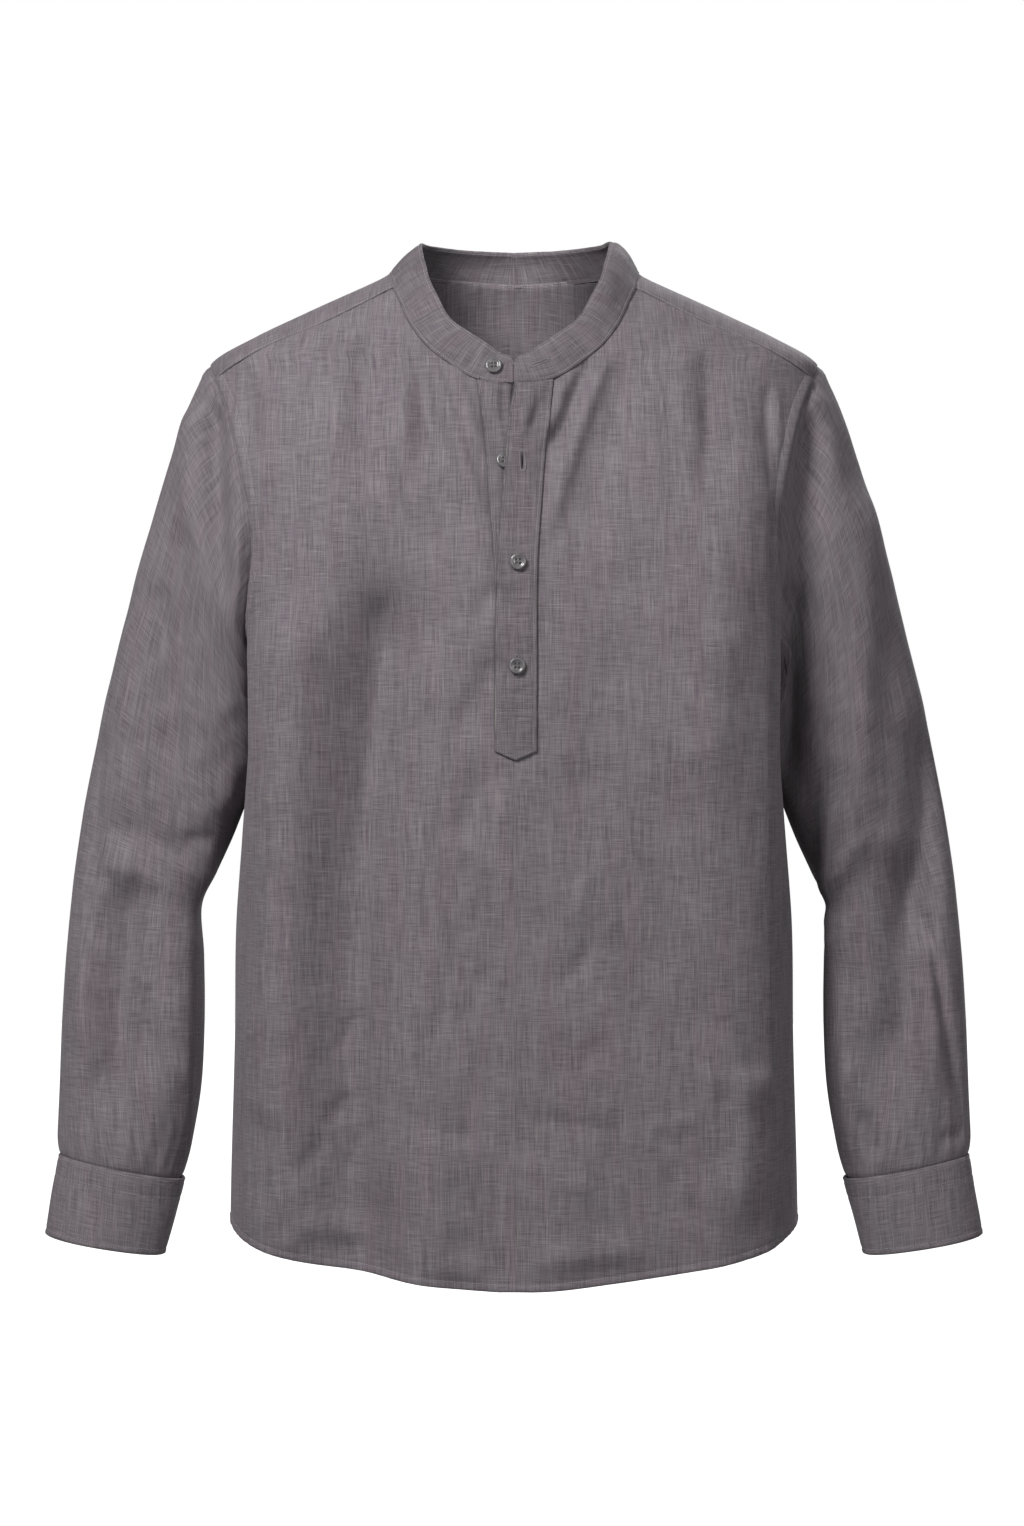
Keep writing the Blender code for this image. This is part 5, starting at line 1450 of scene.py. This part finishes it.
def place_button(node, outward):
    """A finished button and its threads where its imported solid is: the thinnest direction of the solid is its
    face, which looks outward."""
    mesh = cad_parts[node].data
    points = np.empty(len(mesh.vertices) * 3)
    mesh.vertices.foreach_get("co", points)
    points = points.reshape(-1, 3) / MM
    middle = points.mean(axis=0)
    normal = np.linalg.svd(points - middle, full_matrices=False)[2][2]
    normal = normal * np.sign(np.dot(normal, outward))
    right = unit(np.cross([0, 0, 1.0], normal))
    up = np.cross(normal, right)
    back = middle + normal * ((points - middle) @ normal).min()
    directions = np.stack([right, up, normal])
    piece = add_mesh(node + "_resin", back + BUTTON_POINTS @ directions, BUTTON_FACES, RESIN)
    declare(piece, [node])
    share = np.linspace(0, 1, 7)[:, None]
    for x in (-HOLE_PLACE, HOLE_PLACE):
        start, end = back + np.array([[x, -HOLE_PLACE - 0.25, 1.75], [x, HOLE_PLACE + 0.25, 1.75]]) @ directions
        path = start + (end - start) * share + np.sin(share * math.pi) * normal * 0.34
        side = np.cross(normal, unit(np.gradient(path, axis=0)))
        bars.append(round_cord(path, side, np.repeat(normal[None], 7, axis=0), BUTTON_THREAD))


def bound_edge(path, normals, radius, turns_per_mm=1.15, step=0.16):
    """The binding of a buttonhole: a closed round cord, swelling and thinning as a sine of its length like purl
    stitches."""
    here, normals = even_points(np.concatenate([path, path[:1]]), step, (np.concatenate([normals, normals[:1]]),))
    ahead = unit(np.roll(here, -1, axis=0) - np.roll(here, 1, axis=0))
    up = unit(normals - (normals * ahead).sum(axis=-1, keepdims=True) * ahead)
    girth = radius * (1 + 0.28 * np.sin(np.arange(len(here)) * step * 2 * math.pi * turns_per_mm))
    return round_cord(here, np.cross(up, ahead), up, girth[:, None, None])


def cords(name, rings, finish, closed=False):
    """One piece of several round cords, each closed into a loop or with flat ends."""
    quads, caps, first = [], [], 0
    for ring in rings:
        index = np.arange(ring.shape[0] * ring.shape[1]).reshape(ring.shape[:2]) + first
        caps += [index[0], index[-1][::-1]]
        index = np.concatenate([index, index[:1]]) if closed else index
        index = np.concatenate([index, index[:, :1]], axis=1)
        quads.append(np.stack([index[:-1, :-1], index[1:, :-1], index[1:, 1:], index[:-1, 1:]], axis=-1).reshape(-1, 4))
        first += ring.shape[0] * ring.shape[1]
    faces = [np.concatenate(quads)] if closed else [np.concatenate(quads), np.array(caps)]
    return declare(add_mesh(name, np.concatenate([ring.reshape(-1, 3) for ring in rings]), faces, finish), [])


def buttonhole_path(surface, normals, middle, up, right, half, wide):
    """A long narrow loop round a slit, laid on the nearest places of the cloth's grid."""
    angle = np.linspace(0, 2 * math.pi, 48, endpoint=False)
    flat = surface.reshape(-1, 3)
    loop = (middle + np.outer(np.sign(np.cos(angle)) * np.abs(np.cos(angle)) ** 0.55 * (half + 0.7), up)
            + np.outer(np.sign(np.sin(angle)) * np.abs(np.sin(angle)) ** 0.8 * wide, right))
    near = np.linalg.norm(flat[None] - loop[:, None], axis=-1).argmin(axis=1)
    up_there = normals.reshape(-1, 3)[near]
    lift = ((flat[near] - loop) * up_there).sum(axis=-1, keepdims=True)
    return loop + up_there * (lift + 0.05), up_there


# Which way a button's face looks, where it isn't the front.
facing = {"collar_button": (-0.1, -0.8, 0.6), "cuff_button_left": (1, 0.8, 0), "cuff_button_right": (-1, 0.8, 0)}
for node in [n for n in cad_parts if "button" in n]:
    place_button(node, np.array(facing.get(node, (0, -1, 0)), float))
cords("button_threads", bars, DARK_THREAD)
# the near-black cords of painted seam shadow along the seams
cords("painted_seam_shadow", seam_shadows, SEAM_SHADOW_FINISH)

holes = []
surface, normals, heights, across = placket_surface
for at, height, half, open_by in SLITS:
    row = np.argmin(np.hypot(heights - height, across - at)) // heights.shape[1]
    path, up = buttonhole_path(surface, normals, surface[row, UPPER_HALF], np.array([0, 0, 1.0]),
                               np.array([1.0, 0, 0]), half, 0.95 + open_by)
    holes.append(bound_edge(path, up, PLACKET_BINDING))
surface, normals, turns = band_surface
left_end, right_end = (np.argmin(np.abs(turns - t)) for t in COLLAR_SLIT)
first, last = surface[slit_row, left_end], surface[slit_row, right_end]
path, up = buttonhole_path(surface, normals, (first + last) / 2, unit(last - first),
                           unit(np.cross(normals[slit_row, left_end], last - first)),
                           np.linalg.norm(last - first) / 2, 1.0)
holes.append(bound_edge(path, up, COLLAR_BINDING))
cords("buttonhole_binding", holes, BINDING_THREAD, closed=True)

for piece in finish_stitching(THREAD_FINISH):
    declare(piece, [])


# ---------------------------------------------------------------- studio
def aim(thing, target):
    """Turns a lamp or camera towards a place, in metres."""
    thing.rotation_euler = (Vector(target) - thing.location).to_track_quat("-Z", "Y").to_euler()


def soft_lamp(name, place, target, size, power, colour=(1, 1, 1)):
    """A square soft light."""
    lamp = bpy.data.objects.new(name, bpy.data.lights.new(name, "AREA"))
    lamp.data.shape = "SQUARE"
    lamp.data.size = size
    lamp.data.energy = power
    lamp.data.color = colour
    lamp.location = place
    aim(lamp, target)
    bpy.context.scene.collection.objects.link(lamp)


MIDDLE = (0.0, 0.0, -0.30)
soft_lamp("key", (-0.97, -1.63, 0.98), MIDDLE, 0.7, 48)
soft_lamp("fill", (1.0, -2.55, 0.35), MIDDLE, 0.9, 15)
soft_lamp("behind", (0.95, 2.0, 1.15), MIDDLE, 1.0, 34)
neck_light = bpy.data.objects.new("neck_light", bpy.data.lights.new("neck_light", "SPOT"))
neck_light.data.energy = 180
neck_light.data.spot_size = math.radians(2.7)
neck_light.data.spot_blend = 1.0
neck_light.data.shadow_soft_size = 0.02
neck_light.location = (-0.15, -2.4, 0.12)
aim(neck_light, (0.0, 0.02, -0.002))
bpy.context.scene.collection.objects.link(neck_light)

scene = bpy.context.scene
scene.world = bpy.data.worlds.new("studio")
scene.world.use_nodes = True
background = scene.world.node_tree.nodes["Background"]
background.inputs["Color"].default_value = (1, 1, 1, 1)
seen = scene.world.node_tree.nodes.new("ShaderNodeLightPath")
strength = scene.world.node_tree.nodes.new("ShaderNodeMapRange")
strength.inputs["To Min"].default_value = 0.22
strength.inputs["To Max"].default_value = 1.0
scene.world.node_tree.links.new(seen.outputs["Is Camera Ray"], strength.inputs["Value"])
scene.world.node_tree.links.new(strength.outputs[0], background.inputs["Strength"])
scene.view_settings.view_transform = "Standard"

FLOOR_HEIGHT, FLOOR_REACH = -1.15, 9.0
floor_mesh = bpy.data.meshes.new("floor")
floor_corners = [(x * FLOOR_REACH, y * FLOOR_REACH, FLOOR_HEIGHT) for x, y in ((-1, -1), (1, -1), (1, 1), (-1, 1))]
floor_mesh.from_pydata(floor_corners, [], [(0, 1, 2, 3)])
floor = bpy.data.objects.new("floor", floor_mesh)
scene.collection.objects.link(floor)
floor.visible_diffuse = floor.visible_glossy = False
pale = Nodes("pale_floor")
grain = pale.add("TexNoise", {"Vector": pale.add("TexCoord").outputs["Object"], "Scale": 3.0}).outputs[0]
pale.set(pale.shader, {"Base Color": pale.mix(grain, (0.90, 0.90, 0.90, 1), (0.94, 0.94, 0.94, 1)),
                       "Roughness": 1.0, "Emission Color": (1, 1, 1, 1), "Emission Strength": 1.0})
material_slot(floor, pale.material)

camera = bpy.data.objects.new("camera", bpy.data.cameras.new("camera"))
camera.data.sensor_fit = "VERTICAL"
camera.data.sensor_height = 36.0
camera.data.lens = 90.5
camera.location = (-0.0015, -2.8, -0.349)
camera.rotation_euler = (math.radians(90), 0, 0)
camera.data.clip_end = 60.0
scene.collection.objects.link(camera)
scene.camera = camera
